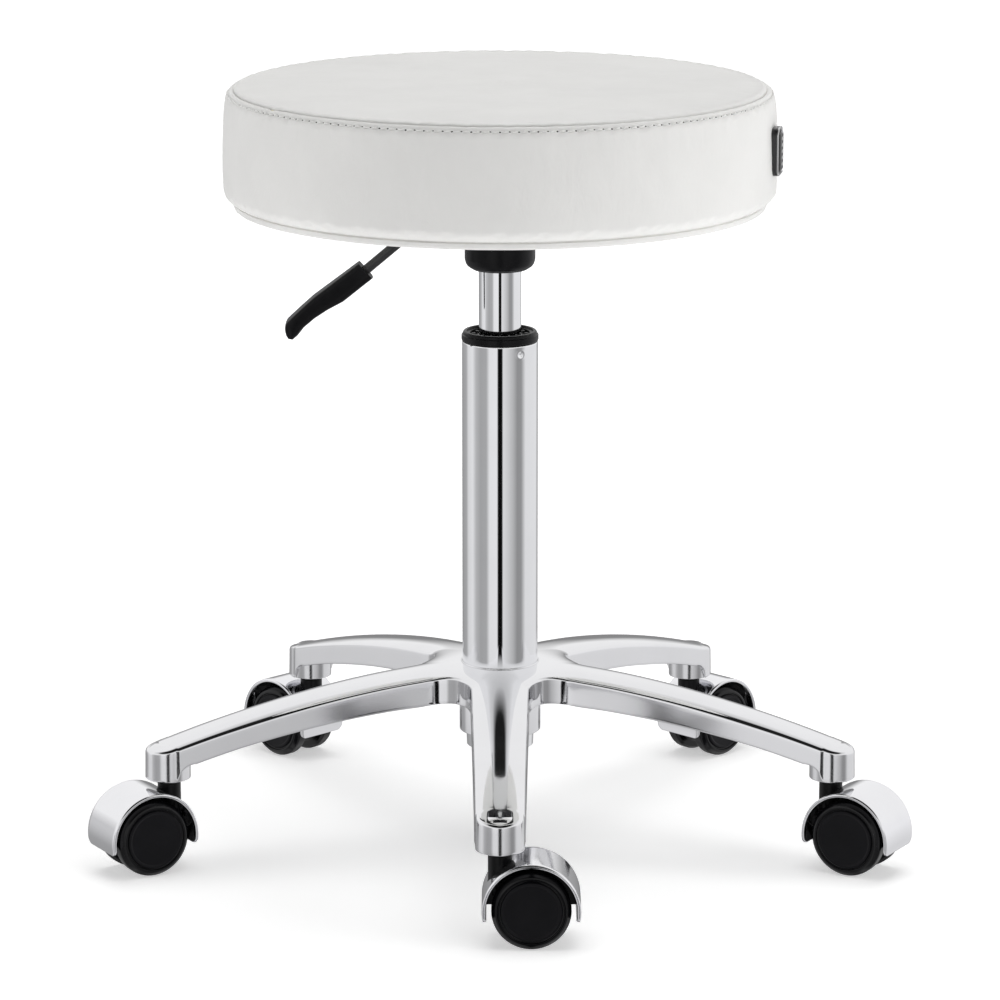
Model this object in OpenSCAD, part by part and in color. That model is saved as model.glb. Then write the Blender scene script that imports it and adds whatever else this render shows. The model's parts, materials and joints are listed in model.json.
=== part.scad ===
// Height-adjustable pedicure stool: round padded seat, gas lift, five-star base and hooded twin casters.
// The origin is the column's axis at floor level, +Z points up and -X points along the height lever.

/* [Seat] */
// Largest diameter of the round cushion, half way up its side
seat_d = 363; // [340:1:400]
// Height of the seat's top above the floor with the gas lift all the way down
seat_h = 506; // [500:1:530]
// Height of the cushion's side, from its bottom seam to the top
cushion_h = 73; // [60:1:85]
// Thickness of the plywood seat board
board_t = 12; // [9:1:15]

/* [Gas lift] */
// Diameter of the outer column tube
column_d = 50; // [48:0.5:52]
// Diameter of the gas cylinder that slides in the column
cylinder_d = 28; // [26:0.5:30]
// Height of the column tube's top edge above the floor
column_top = 337.5; // [325:0.5:340]
// Travel of the gas lift
lift_travel = 140; // [80:5:140]

/* [Base] */
// Radius of the circle through the five caster stems
stem_circle_r = 228; // [215:0.5:245]
// Width of an arm where it leaves the hub
arm_root_w = 39; // [36:0.5:42]
// Width of an arm at the caster stem
arm_tip_w = 32; // [31.5:0.5:34]
// Diameter of the boss that holds a caster stem
boss_d = 31; // [28:0.5:31]
// Radius of the fillet between neighbouring arms
arm_fillet_r = 22; // [16:1:26]
// Height of the hub's top edge above the floor
hub_top = 121; // [118:0.5:124]
// Height of the bosses' bottom faces above the floor
boss_bottom = 60; // [59:0.5:62]

/* [Casters] */
// Diameter of a caster wheel
wheel_d = 50; // [46:0.5:51]
// Width of the chrome hood over both wheels
hood_w = 40; // [38:0.5:44]
// Distance from a caster's stem to its axle, seen from above
trail = 19.5; // [18.5:0.5:20.5]
// Diameter of a caster stem in its boss
stem_d = 11; // [10:0.5:11]

/* [Lever] */
// Width of the lever's handle
handle_w = 20; // [17:1:26]
// Thickness of the lever rod
rod_d = 6.5; // [6:0.5:7.5]

/* [Hidden] */
$fn = 96;
eps = 0.01;
seat_r = seat_d / 2;
column_r = column_d / 2;
cylinder_r = cylinder_d / 2;
wheel_r = wheel_d / 2;
run_gap = 0.05;         // radial clearance of every running fit
arm_count = 5;
arm_az = [-90, -18, 54, 126, 198];      // direction of each arm from the hub
caster_az = [0, 329.5, 45, 135, 210.5]; // direction from each stem to its axle

// Heights of the seat's layers
seam_z = seat_h - cushion_h;            // seam round the bottom of the cushion's side
board_z = seam_z - 4;                   // underside of the seat board
wrap_t = 1.2;                           // thickness of the artificial leather
cover_z = board_z - wrap_t;             // underside of the leather folded under the board
plate_t = 2.5;
plate_z = cover_z - 0.6 - plate_t;      // underside of the pressed seat plate
board_r = seat_r - 9.5;
wrap_r = board_r + wrap_t;
corner_r = 9;                           // rounding of the cushion's top edge
seam_r = seat_r - 6.3;                  // circle of the seam between the top and side panels
side_top = seat_h - corner_r;
low_r = 6;                              // rounding of the side's lower edge, down to its bottom seam
side_low = seam_z + low_r;
side_steps = [for (i = [0:8]) side_low + (side_top - side_low) * i / 8];

// Mechanism under the seat
housing_h = 23;
housing_l = 70;
housing_w = 52;
housing_z = plate_z + plate_t - housing_h;
socket_r = 17.5;
socket_bottom = housing_z - 17;
socket_top = housing_z + 8;
cap_r = 23.2;
cap_round = [8.5, 6.3];                 // width and height of the rounding of the cap's lower edge
bolt_x = 60;
bolt_y = 38;
bolt_hole_r = 3.3;

// Gas lift
tube_wall = 2;
tube_in_r = column_r - tube_wall;
tail_z = 63;                            // lower end of the column tube
tail_r = column_r - 4;
floor_z = tail_z + 5;                   // inside floor of the column tube
floor_t = 3;
rod_r = 5;
bore_r = cylinder_r - 1.8;
cylinder_bottom = 95;
cylinder_top = socket_top;
taper_r = cylinder_r - 0.8;
race_z = floor_z + floor_t;
race_t = 2;
ball_r = 1.5;
ball_pitch_r = 9;
ball_count = 12;
piston_z = 268;
piston_t = 16;
bush_bottom = 268;
collar_h = 7;
collar_r = column_r + 0.3;
collar_in_r = 19.5;
lug_count = 12;                         // lugs round the guide bush's top
valve_r = 4;
valve_top = cylinder_top + 3;

// Base
wall_t = 4;
hub_r = 27;
hub_bottom = 73.5;
hub_wall_top = 1;
boss_r = boss_d / 2;
fillet_at = (arm_root_w / 2 + arm_fillet_r - 0.05) / sin(36);
root_at = (arm_root_w / 2 + arm_fillet_r) / tan(36);
web_r = sqrt(pow(arm_root_w / 2, 2) + pow(root_at, 2));
arm_drop = 36;                          // how far the top of an arm falls from the hub to its tip
arm_curve = 1.75;                       // how late along the arm it falls
tip_reach = stem_circle_r + boss_r;
arm_h_root = 20;
arm_h_tip = 17;
arm_steps = [for (i = [0:8]) hub_r + (tip_reach - hub_r) * i / 8];

// Casters
axle_z = wheel_r;
axle_r = 3;
web_t = 5;
wheel_in = 6.6;                         // inner face of a wheel from the caster's middle plane
wheel_out = hood_w / 2 - 1;
hood_t = 2.4;
hood_r = wheel_r + 6;
hood_in_r = hood_r - hood_t;
hood_skirt = 7.4;                       // how far the hood's ends reach below the axle
neck_r = 7.6;
neck_top = boss_bottom - 1.7;
flange_t = 1.5;
pivot_r = 4;
pivot_bottom = 36;
ring_t = 2.4;
ring_z = boss_bottom + 13;
stem_top = boss_bottom + 21;
stem_bore_r = stem_d / 2 + 0.1;

// Lever
rod_rr = rod_d / 2;
lever_z = valve_top + 0.2 + rod_rr;     // axis of the rod inside the housing
pivot_x = -housing_l / 2 + 8;
lever_slope = 40;
bend_x = -47.1;
bend_r = 10;
bend_cut = bend_r * tan(lever_slope / 2);
lever_end_x = -104;
lever_bore_r = 2;
handle_tip_x = -140.8;
handle_root_w = handle_w - 5;           // the handle is narrower at the rod than at its tip
handle_corner = 3;
handle_top = [[-92.3, 389.8], [-124, 366], [-140.8, 350]];
handle_under = [[-140.2, 341.2], [-137.4, 338], [-133.6, 340], [-128.2, 347.2],
                [-121.2, 353.1], [-112.9, 358.5], [-102.4, 364.1], [-83.1, 379.5]];

// Badge on the right of the cushion's side
badge_az = -12;
badge_h = 34;
badge_w = 22;
badge_t = 2.8;
badge_rise = 1.2;                        // how far its middle field stands above its border
badge_inset = 1.6;
badge_corner = 6;
badge_z = seam_z + 35.8;
badge_hole_at = badge_h / 2 - 2.9;
badge_hole_r = 0.8;

CASTERS = [1, 2, 3, 4, 5];

// ---------------------------------------------------------------- helpers

module ring(outer, inner, h) {
    difference() {
        cylinder(r = outer, h = h);
        translate([0, 0, -eps]) cylinder(r = inner, h = h + 2 * eps);
    }
}

// Places its children at each caster stem
module at_stems() {
    for (a = arm_az) rotate(a) translate([stem_circle_r, 0, 0]) children();
}

// Places its children in a caster's own frame: stem on Z, axle along Y at x = trail
module in_caster(k) {
    rotate(arm_az[k - 1]) translate([stem_circle_r, 0, 0])
        rotate(caster_az[k - 1] - arm_az[k - 1]) children();
}

// A cylinder along Y about the axle, from y0 to y1
module about_axle(r, y0, y1) {
    translate([trail, y0, axle_z]) rotate([-90, 0, 0]) cylinder(r = r, h = y1 - y0);
}

// ---------------------------------------------------------------- base

// Height of an arm's top and underside at a distance r from the column's axis
function along_arm(r) = max(r - hub_r, 0) / (stem_circle_r - hub_r);
function arm_top_z(r) = hub_top - 0.6 - arm_drop * pow(along_arm(r), arm_curve);
function arm_h(r) = arm_h_root + (arm_h_tip - arm_h_root) * min(along_arm(r), 1);

module arm_plan(inset) {
    for (a = arm_az) rotate(a) polygon([
        [0, -arm_root_w / 2 + inset], [root_at, -arm_root_w / 2 + inset],
        [stem_circle_r, -arm_tip_w / 2 + inset], [stem_circle_r, arm_tip_w / 2 - inset],
        [root_at, arm_root_w / 2 - inset], [0, arm_root_w / 2 - inset]]);
}

// Solid of revolution between the arms' top and a lower line, lowered by drop
module arm_shell(drop, extra) {
    rotate_extrude() polygon(concat(
        [[eps, hub_top - drop]],
        [for (r = arm_steps) [r, arm_top_z(r) - drop]],
        [for (i = [8:-1:0]) [arm_steps[i], arm_top_z(arm_steps[i]) - arm_h(arm_steps[i]) - extra]],
        [[eps, hub_top - arm_h_root - extra]]));
}

module star_base() {
    color("gainsboro") difference() {
        union() {
            intersection() {
                translate([0, 0, boss_bottom - 10]) linear_extrude(80) union() {
                    arm_plan(0);
                    for (a = arm_az) rotate(a) translate([stem_circle_r, 0]) circle(boss_r);
                    difference() {
                        circle(web_r);
                        for (a = arm_az) rotate(a + 36) translate([fillet_at, 0]) circle(arm_fillet_r);
                    }
                }
                arm_shell(0, 0);
            }
            translate([0, 0, hub_bottom]) cylinder(r = hub_r, h = hub_top - 3 - hub_bottom);
            translate([0, 0, hub_bottom]) cylinder(r = column_r + hub_wall_top, h = hub_top - hub_bottom);
            at_stems() translate([0, 0, boss_bottom])
                cylinder(r = boss_r - 0.8, h = arm_top_z(stem_circle_r) - 4 - boss_bottom);
        }
        // open channel under each arm, clear of the hub and the bosses
        intersection() {
            translate([0, 0, boss_bottom - 10]) linear_extrude(80) difference() {
                arm_plan(wall_t);
                circle(hub_r + 9);
                for (a = arm_az) rotate(a) translate([stem_circle_r, 0]) circle(boss_r);
                for (a = arm_az) rotate(a) translate([0, -1.5]) square([stem_circle_r, 3]);
            }
            arm_shell(wall_t, 5);
        }
        hub_bore();
        at_stems() translate([0, 0, boss_bottom - eps])
            cylinder(r = stem_bore_r, h = stem_top - boss_bottom + eps);
    }
}

// The tapered seat of the column in the hub, cut past both faces
module hub_bore() {
    rotate_extrude() polygon([
        [0, hub_bottom - 12], [column_taper_r(hub_bottom - 12), hub_bottom - 12],
        [column_r, hub_top - 3], [column_r, hub_top + 5], [0, hub_top + 5]]);
}

// Outer radius of the column tube's tapered foot at height z
function column_taper_r(z) = column_r - 2.4 * (hub_top - 3 - z) / (hub_top - 3 - 73.5);

module column_tube() {
    color("silver") difference() {
        rotate_extrude() polygon([
            [0, tail_z], [tail_r, tail_z], [column_taper_r(tail_z + 2), tail_z + 2],
            [column_r, hub_top - 3], [column_r, column_top],
            [tube_in_r, column_top], [tube_in_r, hub_top],
            [tail_r - 1.5, race_z + 1], [tail_r - 1.5, race_z], [0, race_z]]);
        translate([0, 0, tail_z - eps]) cylinder(r = tail_r - 2.5, h = floor_z - tail_z + eps);
        cylinder(r = rod_r + 0.5, h = column_top);
        // stake that holds the guide bush
        rotate(-57) translate([column_r + 0.9, 0, column_top - 5.5]) sphere(r = 2);
    }
}

module column_collar() {
    color("#141414") translate([0, 0, column_top]) rotate_extrude() polygon([
        [collar_in_r, 0], [collar_r - 0.5, 0], [collar_r - 0.5, 0.8], [collar_r, 1.2], [collar_r, 4.4],
        [collar_r - 0.9, 4.8], [collar_r - 0.9, collar_h - 0.9], [collar_r - 1.7, collar_h],
        [collar_r - 3.4, collar_h], [collar_r - 3.6, collar_h - 1.2], [collar_in_r, collar_h - 1.2]]);
}

module guide_bush() {
    bush_top = column_top + collar_h - 3.2;
    color("#1c1c1c") difference() {
        union() {
            translate([0, 0, bush_bottom]) cylinder(r = tube_in_r, h = column_top - bush_bottom);
            translate([0, 0, column_top - eps]) cylinder(r = collar_in_r, h = bush_top - column_top + eps);
            for (i = [0:lug_count - 1]) rotate(i * 360 / lug_count)
                translate([cylinder_r + 2, -1.2, bush_top - eps]) cube([3, 2.4, 1.6]);
        }
        translate([0, 0, bush_bottom - 1]) cylinder(r = cylinder_r + run_gap, h = 100);
    }
}

module bearing_lower_race() {
    color("dimgray") translate([0, 0, race_z]) ring(ball_pitch_r + 3, rod_r + 0.5, race_t);
}

module bearing_balls() {
    color("gainsboro") for (i = [0:ball_count - 1]) rotate(i * 360 / ball_count)
        translate([ball_pitch_r, 0, race_z + race_t + ball_r]) sphere(r = ball_r, $fn = 32);
}

module retainer_washer() {
    color("dimgray") translate([0, 0, floor_z - 1.2]) ring(9, rod_r + 0.3, 1.2);
}

module caster_stems() {
    color("gray") at_stems() difference() {
        union() {
            translate([0, 0, pivot_bottom]) cylinder(r = pivot_r, h = boss_bottom - pivot_bottom);
            translate([0, 0, boss_bottom - flange_t]) cylinder(r = neck_r, h = flange_t);
            translate([0, 0, boss_bottom]) cylinder(r = stem_d / 2, h = stem_top - boss_bottom - 0.5);
        }
        translate([0, 0, ring_z - 0.1]) ring(stem_d, stem_d / 2 - 0.9, ring_t + 0.2);
    }
}

module stem_rings() {
    color("#555555") at_stems() translate([0, 0, ring_z]) difference() {
        ring(stem_bore_r, stem_d / 2 - 0.9, ring_t);
        translate([0, -1, -1]) cube([stem_d, 2, ring_t + 2]);
    }
}

// ---------------------------------------------------------------- gas lift

module piston_rod() {
    color("lightgray") difference() {
        translate([0, 0, tail_z + 0.5]) cylinder(r = rod_r, h = piston_z + piston_t - tail_z - 0.5);
        translate([0, 0, floor_z - 2.5]) ring(rod_r + 1, rod_r - 1, 1.2);
    }
}

module piston() {
    color("goldenrod") translate([0, 0, piston_z]) difference() {
        ring(bore_r - run_gap, rod_r, piston_t);
        translate([0, 0, piston_t / 2 - 1.5]) ring(bore_r, bore_r - 1.6, 3);
    }
}

module bearing_upper_race() {
    color("dimgray") translate([0, 0, race_z + race_t + 2 * ball_r]) ring(ball_pitch_r + 3, rod_r, race_t);
}

module bump_cushion() {
    bottom = race_z + 2 * race_t + 2 * ball_r;
    color("#222222") translate([0, 0, bottom]) difference() {
        ring(12, rod_r, cylinder_bottom - 0.3 - bottom);
        translate([0, 0, 6]) ring(13, 10.4, 3);
    }
}

module rod_clip() {
    color("dimgray") translate([0, 0, floor_z - 2.4]) difference() {
        ring(8, rod_r - 1, 1);
        translate([0, -2.2, -1]) cube([10, 4.4, 3]);
    }
}

module gas_cylinder() {
    head_t = 9;
    color("silver") difference() {
        rotate_extrude() polygon([
            [0, cylinder_bottom], [cylinder_r - 0.6, cylinder_bottom], [cylinder_r, cylinder_bottom + 0.6],
            [cylinder_r, socket_bottom + 1], [taper_r, cylinder_top], [0, cylinder_top]]);
        translate([0, 0, cylinder_bottom - eps])
            cylinder(r = bore_r, h = cylinder_top - head_t - cylinder_bottom);
        cylinder(r = valve_r + run_gap, h = cylinder_top + 1);
    }
}

module rod_seal() {
    color("#2a2a2a") translate([0, 0, cylinder_bottom + 2]) ring(bore_r, rod_r + run_gap, 15);
}

module valve_button() {
    stem_h = valve_top - cylinder_top + 12;
    color("lightgray") translate([0, 0, valve_top - stem_h]) union() {
        cylinder(r = valve_r, h = stem_h - 1);
        cylinder(r = valve_r - 0.8, h = stem_h);
    }
}

// ---------------------------------------------------------------- mechanism under the seat

module taper_socket() {
    color("#262626") difference() {
        translate([0, 0, socket_bottom]) cylinder(r = socket_r, h = socket_top - socket_bottom);
        rotate_extrude() polygon([
            [0, socket_bottom - 1], [cylinder_r, socket_bottom - 1], [cylinder_r, socket_bottom + 1],
            [taper_r, cylinder_top], [taper_r, cylinder_top + 1], [0, cylinder_top + 1]]);
    }
}

module socket_cap() {
    cap_bottom = socket_bottom - 2;
    color("#141414") rotate_extrude() polygon(concat(
        [[cylinder_r + 0.4, cap_bottom]],
        [for (t = [0:15:90]) [cap_r - cap_round[0] * (1 - sin(t)), cap_bottom + cap_round[1] * (1 - cos(t))]],
        [[cap_r, housing_z], [socket_r, housing_z], [socket_r, socket_bottom],
         [cylinder_r + 0.4, socket_bottom]]));
}

module seat_plate() {
    color("#1e1e1e") difference() {
        union() {
            translate([0, 0, plate_z]) linear_extrude(plate_t) hull()
                for (x = [-1, 1], y = [-1, 1])
                    translate([x * (bolt_x + 7), y * (bolt_y + 7)]) circle(8, $fn = 32);
            translate([-housing_l / 2, -housing_w / 2, housing_z])
                cube([housing_l, housing_w, housing_h]);
        }
        translate([-housing_l / 2 + plate_t, -housing_w / 2 + plate_t, housing_z + plate_t])
            cube([housing_l - 2 * plate_t, housing_w - 2 * plate_t, housing_h]);
        translate([0, 0, housing_z - 1]) cylinder(r = socket_r, h = 10);
        for (x = [-bolt_x, bolt_x], y = [-bolt_y, bolt_y]) translate([x, y, plate_z - 1])
            cylinder(r = bolt_hole_r, h = plate_t + 2);
        // slot for the lever rod, and the holes of its pivot pin
        translate([-housing_l / 2 - 1, -rod_rr - 1, lever_z - rod_rr - 1.5])
            cube([plate_t + 2, rod_d + 2, plate_z - lever_z + rod_rr + 1.5]);
        translate([pivot_x, 0, lever_z]) rotate([90, 0, 0])
            cylinder(r = lever_bore_r, h = housing_w + 2, center = true);
    }
}

module at_bolts() {
    for (x = [-bolt_x, bolt_x], y = [-bolt_y, bolt_y]) translate([x, y, 0]) children();
}

module plate_bolts() {
    color("silver") at_bolts() difference() {
        union() {
            translate([0, 0, plate_z - 1.6 - 4]) cylinder(r = 5.8, h = 4, $fn = 6);
            translate([0, 0, plate_z - 2]) cylinder(r = 3, h = board_z + 9 - plate_z + 2);
        }
        translate([0, 0, plate_z - 6]) cylinder(r = 3.4, h = 1.2);
    }
}

module spring_washers() {
    color("gray") at_bolts() translate([0, 0, plate_z - 1.6]) difference() {
        ring(5.5, 3, 1.6);
        rotate(30) translate([0, -0.4, -1]) cube([8, 0.8, 4]);
    }
}

module t_nuts() {
    color("lightgray") at_bolts() union() {
        translate([0, 0, board_z + board_t - 1.2]) ring(9, 3, 1.2);
        translate([0, 0, board_z + 3]) ring(4, 3, board_t - 3);
    }
}

// ---------------------------------------------------------------- seat

module seat_board() {
    color("burlywood") difference() {
        translate([0, 0, board_z]) cylinder(r = board_r, h = board_t);
        at_bolts() translate([0, 0, board_z - 1]) cylinder(r = 4, h = board_t + 2);
        at_bolts() translate([0, 0, board_z + board_t - 1.2]) cylinder(r = 9, h = 2);
    }
}

// Radius of the cushion's side at height z: a slight barrel, drawn in to both seams
function side_r(z) = seat_r - 2.5 * pow(abs(z - seam_z - 0.38 * cushion_h) / (0.6 * cushion_h), 2.4);

// The cushion's side from the bottom seam up and round the top edge to the seam, moved in by d
function side_line(d) = concat(
    [for (t = [15:30:75]) [side_r(side_low) - low_r + (low_r - d) * sin(t), side_low - (low_r - d) * cos(t)]],
    [for (z = side_steps) [side_r(z) - d, z]],
    [for (t = [14:14:56]) [side_r(side_top) - corner_r + (corner_r - d) * cos(t),
                           side_top + (corner_r - d) * sin(t)]]);

module foam_pad() {
    color("#f2e6b8") rotate_extrude() polygon(concat(
        [[0, board_z + board_t], [board_r, board_z + board_t], [board_r, seam_z + wrap_t]],
        side_line(wrap_t),
        [[seam_r, seat_h - wrap_t - 0.4], [0, seat_h - wrap_t - 0.4]]));
}

module top_panel() {
    color("whitesmoke") rotate_extrude() polygon([
        [0, seat_h - wrap_t - 0.4], [seam_r, seat_h - wrap_t - 0.4], [seam_r, seat_h - 1],
        [seam_r - 3, seat_h - 0.2], [seam_r - 8, seat_h], [0, seat_h]]);
}

module side_panel() {
    outer = side_line(0);
    inner = side_line(wrap_t);
    last = len(outer) - 1;
    color("whitesmoke") rotate_extrude() polygon(concat(
        outer,
        [[seam_r, seat_h - 1], [seam_r, seat_h - wrap_t - 0.4]],
        [for (i = [last:-1:0]) inner[i]]));
}

// Leather band round the board's edge, folded over the foam's lip and under the board
module edge_wrap() {
    lip = side_line(0)[0];
    lip_in = side_line(wrap_t)[0];
    color("whitesmoke") rotate_extrude() polygon([
        [board_r - 22, cover_z], [wrap_r - 0.8, cover_z], [wrap_r, cover_z + 0.8],
        [wrap_r, seam_z - 0.6], lip, lip_in, [board_r, seam_z + wrap_t],
        [board_r, board_z], [board_r - 22, board_z]]);
}

module dust_cover() {
    color("whitesmoke") translate([0, 0, cover_z - 0.6]) difference() {
        cylinder(r = board_r - 10, h = 0.6);
        at_bolts() translate([0, 0, -1]) cylinder(r = bolt_hole_r, h = 3);
        translate([0, 0, -1]) cylinder(r = 20, h = 3);
    }
}

module at_badge() {
    rotate(badge_az) translate([seat_r, 0, badge_z]) rotate([0, 90, 0]) children();
}

// A plate with rounded corners, moved in by inset
module badge_plate(inset, h) {
    x0 = badge_h / 2 - badge_corner;
    y0 = badge_w / 2 - badge_corner;
    linear_extrude(h) hull()
        for (x = [-x0, x0], y = [-y0, y0]) translate([x, y]) circle(badge_corner - inset, $fn = 32);
}

module badge() {
    color("darkgray") at_badge() difference() {
        union() {
            badge_plate(0, badge_t);
            badge_plate(badge_inset, badge_t + badge_rise);
        }
        for (x = [-badge_hole_at, badge_hole_at]) translate([x, 0, -1])
            cylinder(r = badge_hole_r, h = badge_t + badge_rise + 2);
    }
}

module badge_rivets() {
    color("silver") at_badge() for (x = [-badge_hole_at, badge_hole_at]) translate([x, 0, 0]) union() {
        cylinder(r = badge_hole_r, h = badge_t + badge_rise + 0.2);
        translate([0, 0, badge_t + badge_rise]) cylinder(r = 1.5, h = 0.7);
    }
}

// ---------------------------------------------------------------- lever

// The sloping stretch of the rod, from the end of its bend to its end in the handle
module sloped_rod() {
    translate([bend_x, 0, lever_z]) rotate([0, -90 - lever_slope, 0]) translate([0, 0, bend_cut - 1])
        cylinder(r = rod_rr, h = (bend_x - lever_end_x) / cos(lever_slope) - bend_cut + 1);
}

module lever_rod() {
    color("#181818") difference() {
        union() {
            translate([bend_x + bend_cut - 1, 0, lever_z]) rotate([0, 90, 0])
                cylinder(r = rod_rr, h = 6 - bend_x - bend_cut);
            // the bend, swollen a little past the straight stretches that run into it
            translate([bend_x + bend_cut, 0, lever_z - bend_r]) rotate([90, 0, 0]) rotate(90)
                rotate_extrude(angle = lever_slope) translate([bend_r, 0])
                    circle(rod_rr + 0.15);
            sloped_rod();
        }
        translate([pivot_x, 0, lever_z]) rotate([90, 0, 0])
            cylinder(r = lever_bore_r + run_gap, h = 20, center = true);
    }
}

module lever_handle() {
    color("#141414") difference() {
        intersection() {
            translate([0, handle_w / 2, 0]) rotate([90, 0, 0])
                linear_extrude(handle_w) polygon(concat(handle_top, handle_under));
            // narrowed towards the rod and square at its tip, seen from above
            translate([0, 0, 320]) linear_extrude(80) hull() {
                for (y = [-1, 1])
                    translate([handle_tip_x + handle_corner, y * (handle_w / 2 - handle_corner)])
                        circle(handle_corner, $fn = 32);
                translate([-84, -handle_root_w / 2]) square([4, handle_root_w]);
            }
        }
        sloped_rod();
    }
}

module lever_pin() {
    color("gray") translate([pivot_x, 0, lever_z]) rotate([90, 0, 0])
        cylinder(r = lever_bore_r, h = housing_w, center = true);
}

// ---------------------------------------------------------------- casters

module caster_body(k) {
    color("#121212") in_caster(k) difference() {
        union() {
            // middle web, flat at the axle's height
            intersection() {
                about_axle(hood_in_r, -web_t / 2, web_t / 2);
                translate([trail - 40, -20, axle_z]) cube([80, 40, 40]);
            }
            about_axle(6, -wheel_in + 0.3, wheel_in - 0.3);
            // neck round the stem, cut clear of the wheels
            difference() {
                translate([0, 0, axle_z + 6]) cylinder(r = neck_r, h = neck_top - axle_z - 6);
                about_axle(wheel_r + 0.7, wheel_in - 0.4, 20);
                about_axle(wheel_r + 0.7, -20, -wheel_in + 0.4);
            }
        }
        translate([0, 0, pivot_bottom - 0.5]) cylinder(r = pivot_r + run_gap, h = 40);
        about_axle(axle_r, -20, 20);
    }
}

module caster_hood(k) {
    color("gainsboro") in_caster(k) difference() {
        about_axle(hood_r, -hood_w / 2, hood_w / 2);
        about_axle(hood_in_r, -hood_w, hood_w);
        translate([trail - 50, -50, -20]) cube([100, 100, 20 + axle_z - hood_skirt]);
        cylinder(r = neck_r + 0.3, h = 100);
    }
}

module caster_axle(k) {
    color("silver") in_caster(k) about_axle(axle_r, -wheel_out + 2.5, wheel_out - 2.5);
}

// A wheel with a stepped outer face, side = 1 on the left of the caster's heading and -1 on its right
module caster_wheel(k, side) {
    w = wheel_out - wheel_in;
    color("#101010") in_caster(k) translate([trail, side * wheel_in, axle_z]) rotate([-90 * side, 0, 0])
        rotate_extrude() polygon([
            [axle_r + run_gap, 0], [wheel_r - 7, 0], [wheel_r - 5, 1.2], [wheel_r - 1.5, 1.2], [wheel_r, 2.7],
            [wheel_r, w - 3.4], [wheel_r - 0.6, w - 1.8], [wheel_r - 1.9, w - 0.7], [wheel_r - 3.6, w - 0.3],
            [wheel_r - 3.9, w - 0.9], [wheel_r - 4.6, w - 0.9], [wheel_r - 4.9, w - 0.2], [wheel_r - 8, w],
            [0, w], [0, w - 2.2], [axle_r + run_gap, w - 2.2]]);
}

// ---------------------------------------------------------------- nodes

star_base();
column_tube();
column_collar();
guide_bush();
bearing_lower_race();
bearing_balls();
retainer_washer();
caster_stems();
stem_rings();
piston_rod();
piston();
bearing_upper_race();
bump_cushion();
rod_clip();
gas_cylinder();
rod_seal();
valve_button();
taper_socket();
socket_cap();
seat_plate();
plate_bolts();
spring_washers();
t_nuts();
seat_board();
foam_pad();
top_panel();
side_panel();
edge_wrap();
dust_cover();
badge();
badge_rivets();
lever_rod();
lever_handle();
lever_pin();
for (k = CASTERS) {
    caster_body(k);
    caster_hood(k);
    caster_axle(k);
    caster_wheel(k, 1);
    caster_wheel(k, -1);
}
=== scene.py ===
import json
import math

import bmesh
import bpy
import numpy as np
from mathutils import Matrix, Vector, noise


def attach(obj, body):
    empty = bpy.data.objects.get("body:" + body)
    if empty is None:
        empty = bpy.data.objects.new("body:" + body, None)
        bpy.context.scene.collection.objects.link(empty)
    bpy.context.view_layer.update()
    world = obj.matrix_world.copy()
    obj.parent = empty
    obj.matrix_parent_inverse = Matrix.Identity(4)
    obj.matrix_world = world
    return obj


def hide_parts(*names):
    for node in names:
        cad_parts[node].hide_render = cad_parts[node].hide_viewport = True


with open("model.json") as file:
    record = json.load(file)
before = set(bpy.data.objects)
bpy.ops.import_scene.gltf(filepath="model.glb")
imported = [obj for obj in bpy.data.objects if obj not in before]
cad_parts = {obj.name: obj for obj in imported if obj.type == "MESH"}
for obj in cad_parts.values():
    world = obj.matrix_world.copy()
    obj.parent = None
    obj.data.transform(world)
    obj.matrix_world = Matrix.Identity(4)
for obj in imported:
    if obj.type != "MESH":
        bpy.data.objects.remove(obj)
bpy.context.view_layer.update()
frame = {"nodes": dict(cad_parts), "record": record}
MM = 0.001
WELD_DIST = 2e-6     # points of a mesh nearer than this, in metres, become one
RECORD = frame["record"]

# ------------------------------------------------------------------ dimensions, in millimetres

SEAT_R = 181.5
SEAT_TOP = 506.0
SEAM_Z = 433.0
BOARD_R = 172.0
COLUMN_R = 25.0
COLUMN_TOP = 337.5
HUB_TOP = 121.0
HUB_R = 27.0
HUB_BOTTOM = 73.5
STEM_CIRCLE_R = 228.0
BOSS_R = 15.5
BOSS_BOTTOM = 60.0
ARM_ROOT_W = 39.0
ARM_TIP_W = 32.0
FILLET_R = 22.0
ARM_AZ = (-90.0, -18.0, 54.0, 126.0, 198.0)
CASTER_AZ = (0.0, 329.5, 45.0, 135.0, 210.5)
TRAIL = 19.5
AXLE_Z = 25.0
WHEEL_R = 25.0
WHEEL_IN = 6.6


# ------------------------------------------------------------------ mesh helpers

def mesh_of(name, verts, faces, scale=MM, weld=False):
    """A mesh whose faces all look outwards."""
    mesh = bpy.data.meshes.new(name)
    mesh.from_pydata([(x * scale, y * scale, z * scale) for x, y, z in verts], [], faces)
    bm = bmesh.new()
    bm.from_mesh(mesh)
    if weld:
        bmesh.ops.remove_doubles(bm, verts=bm.verts, dist=WELD_DIST)
    bmesh.ops.recalc_face_normals(bm, faces=bm.faces)
    bm.to_mesh(mesh)
    bm.free()
    return mesh


def make(name, verts, faces, look, body, slot, replaces=(), sharp=32.0, weld=False):
    """A piece of the object from points in millimetres."""
    mesh = mesh_of(name, verts, faces, weld=weld)
    mesh.materials.append(look)
    mesh.shade_smooth()
    mesh.set_sharp_from_angle(angle=math.radians(sharp))
    obj = bpy.data.objects.new(name, mesh)
    bpy.context.scene.collection.objects.link(obj)
    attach(obj, body)
    if replaces:
        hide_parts(*replaces)
    return obj


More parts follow.
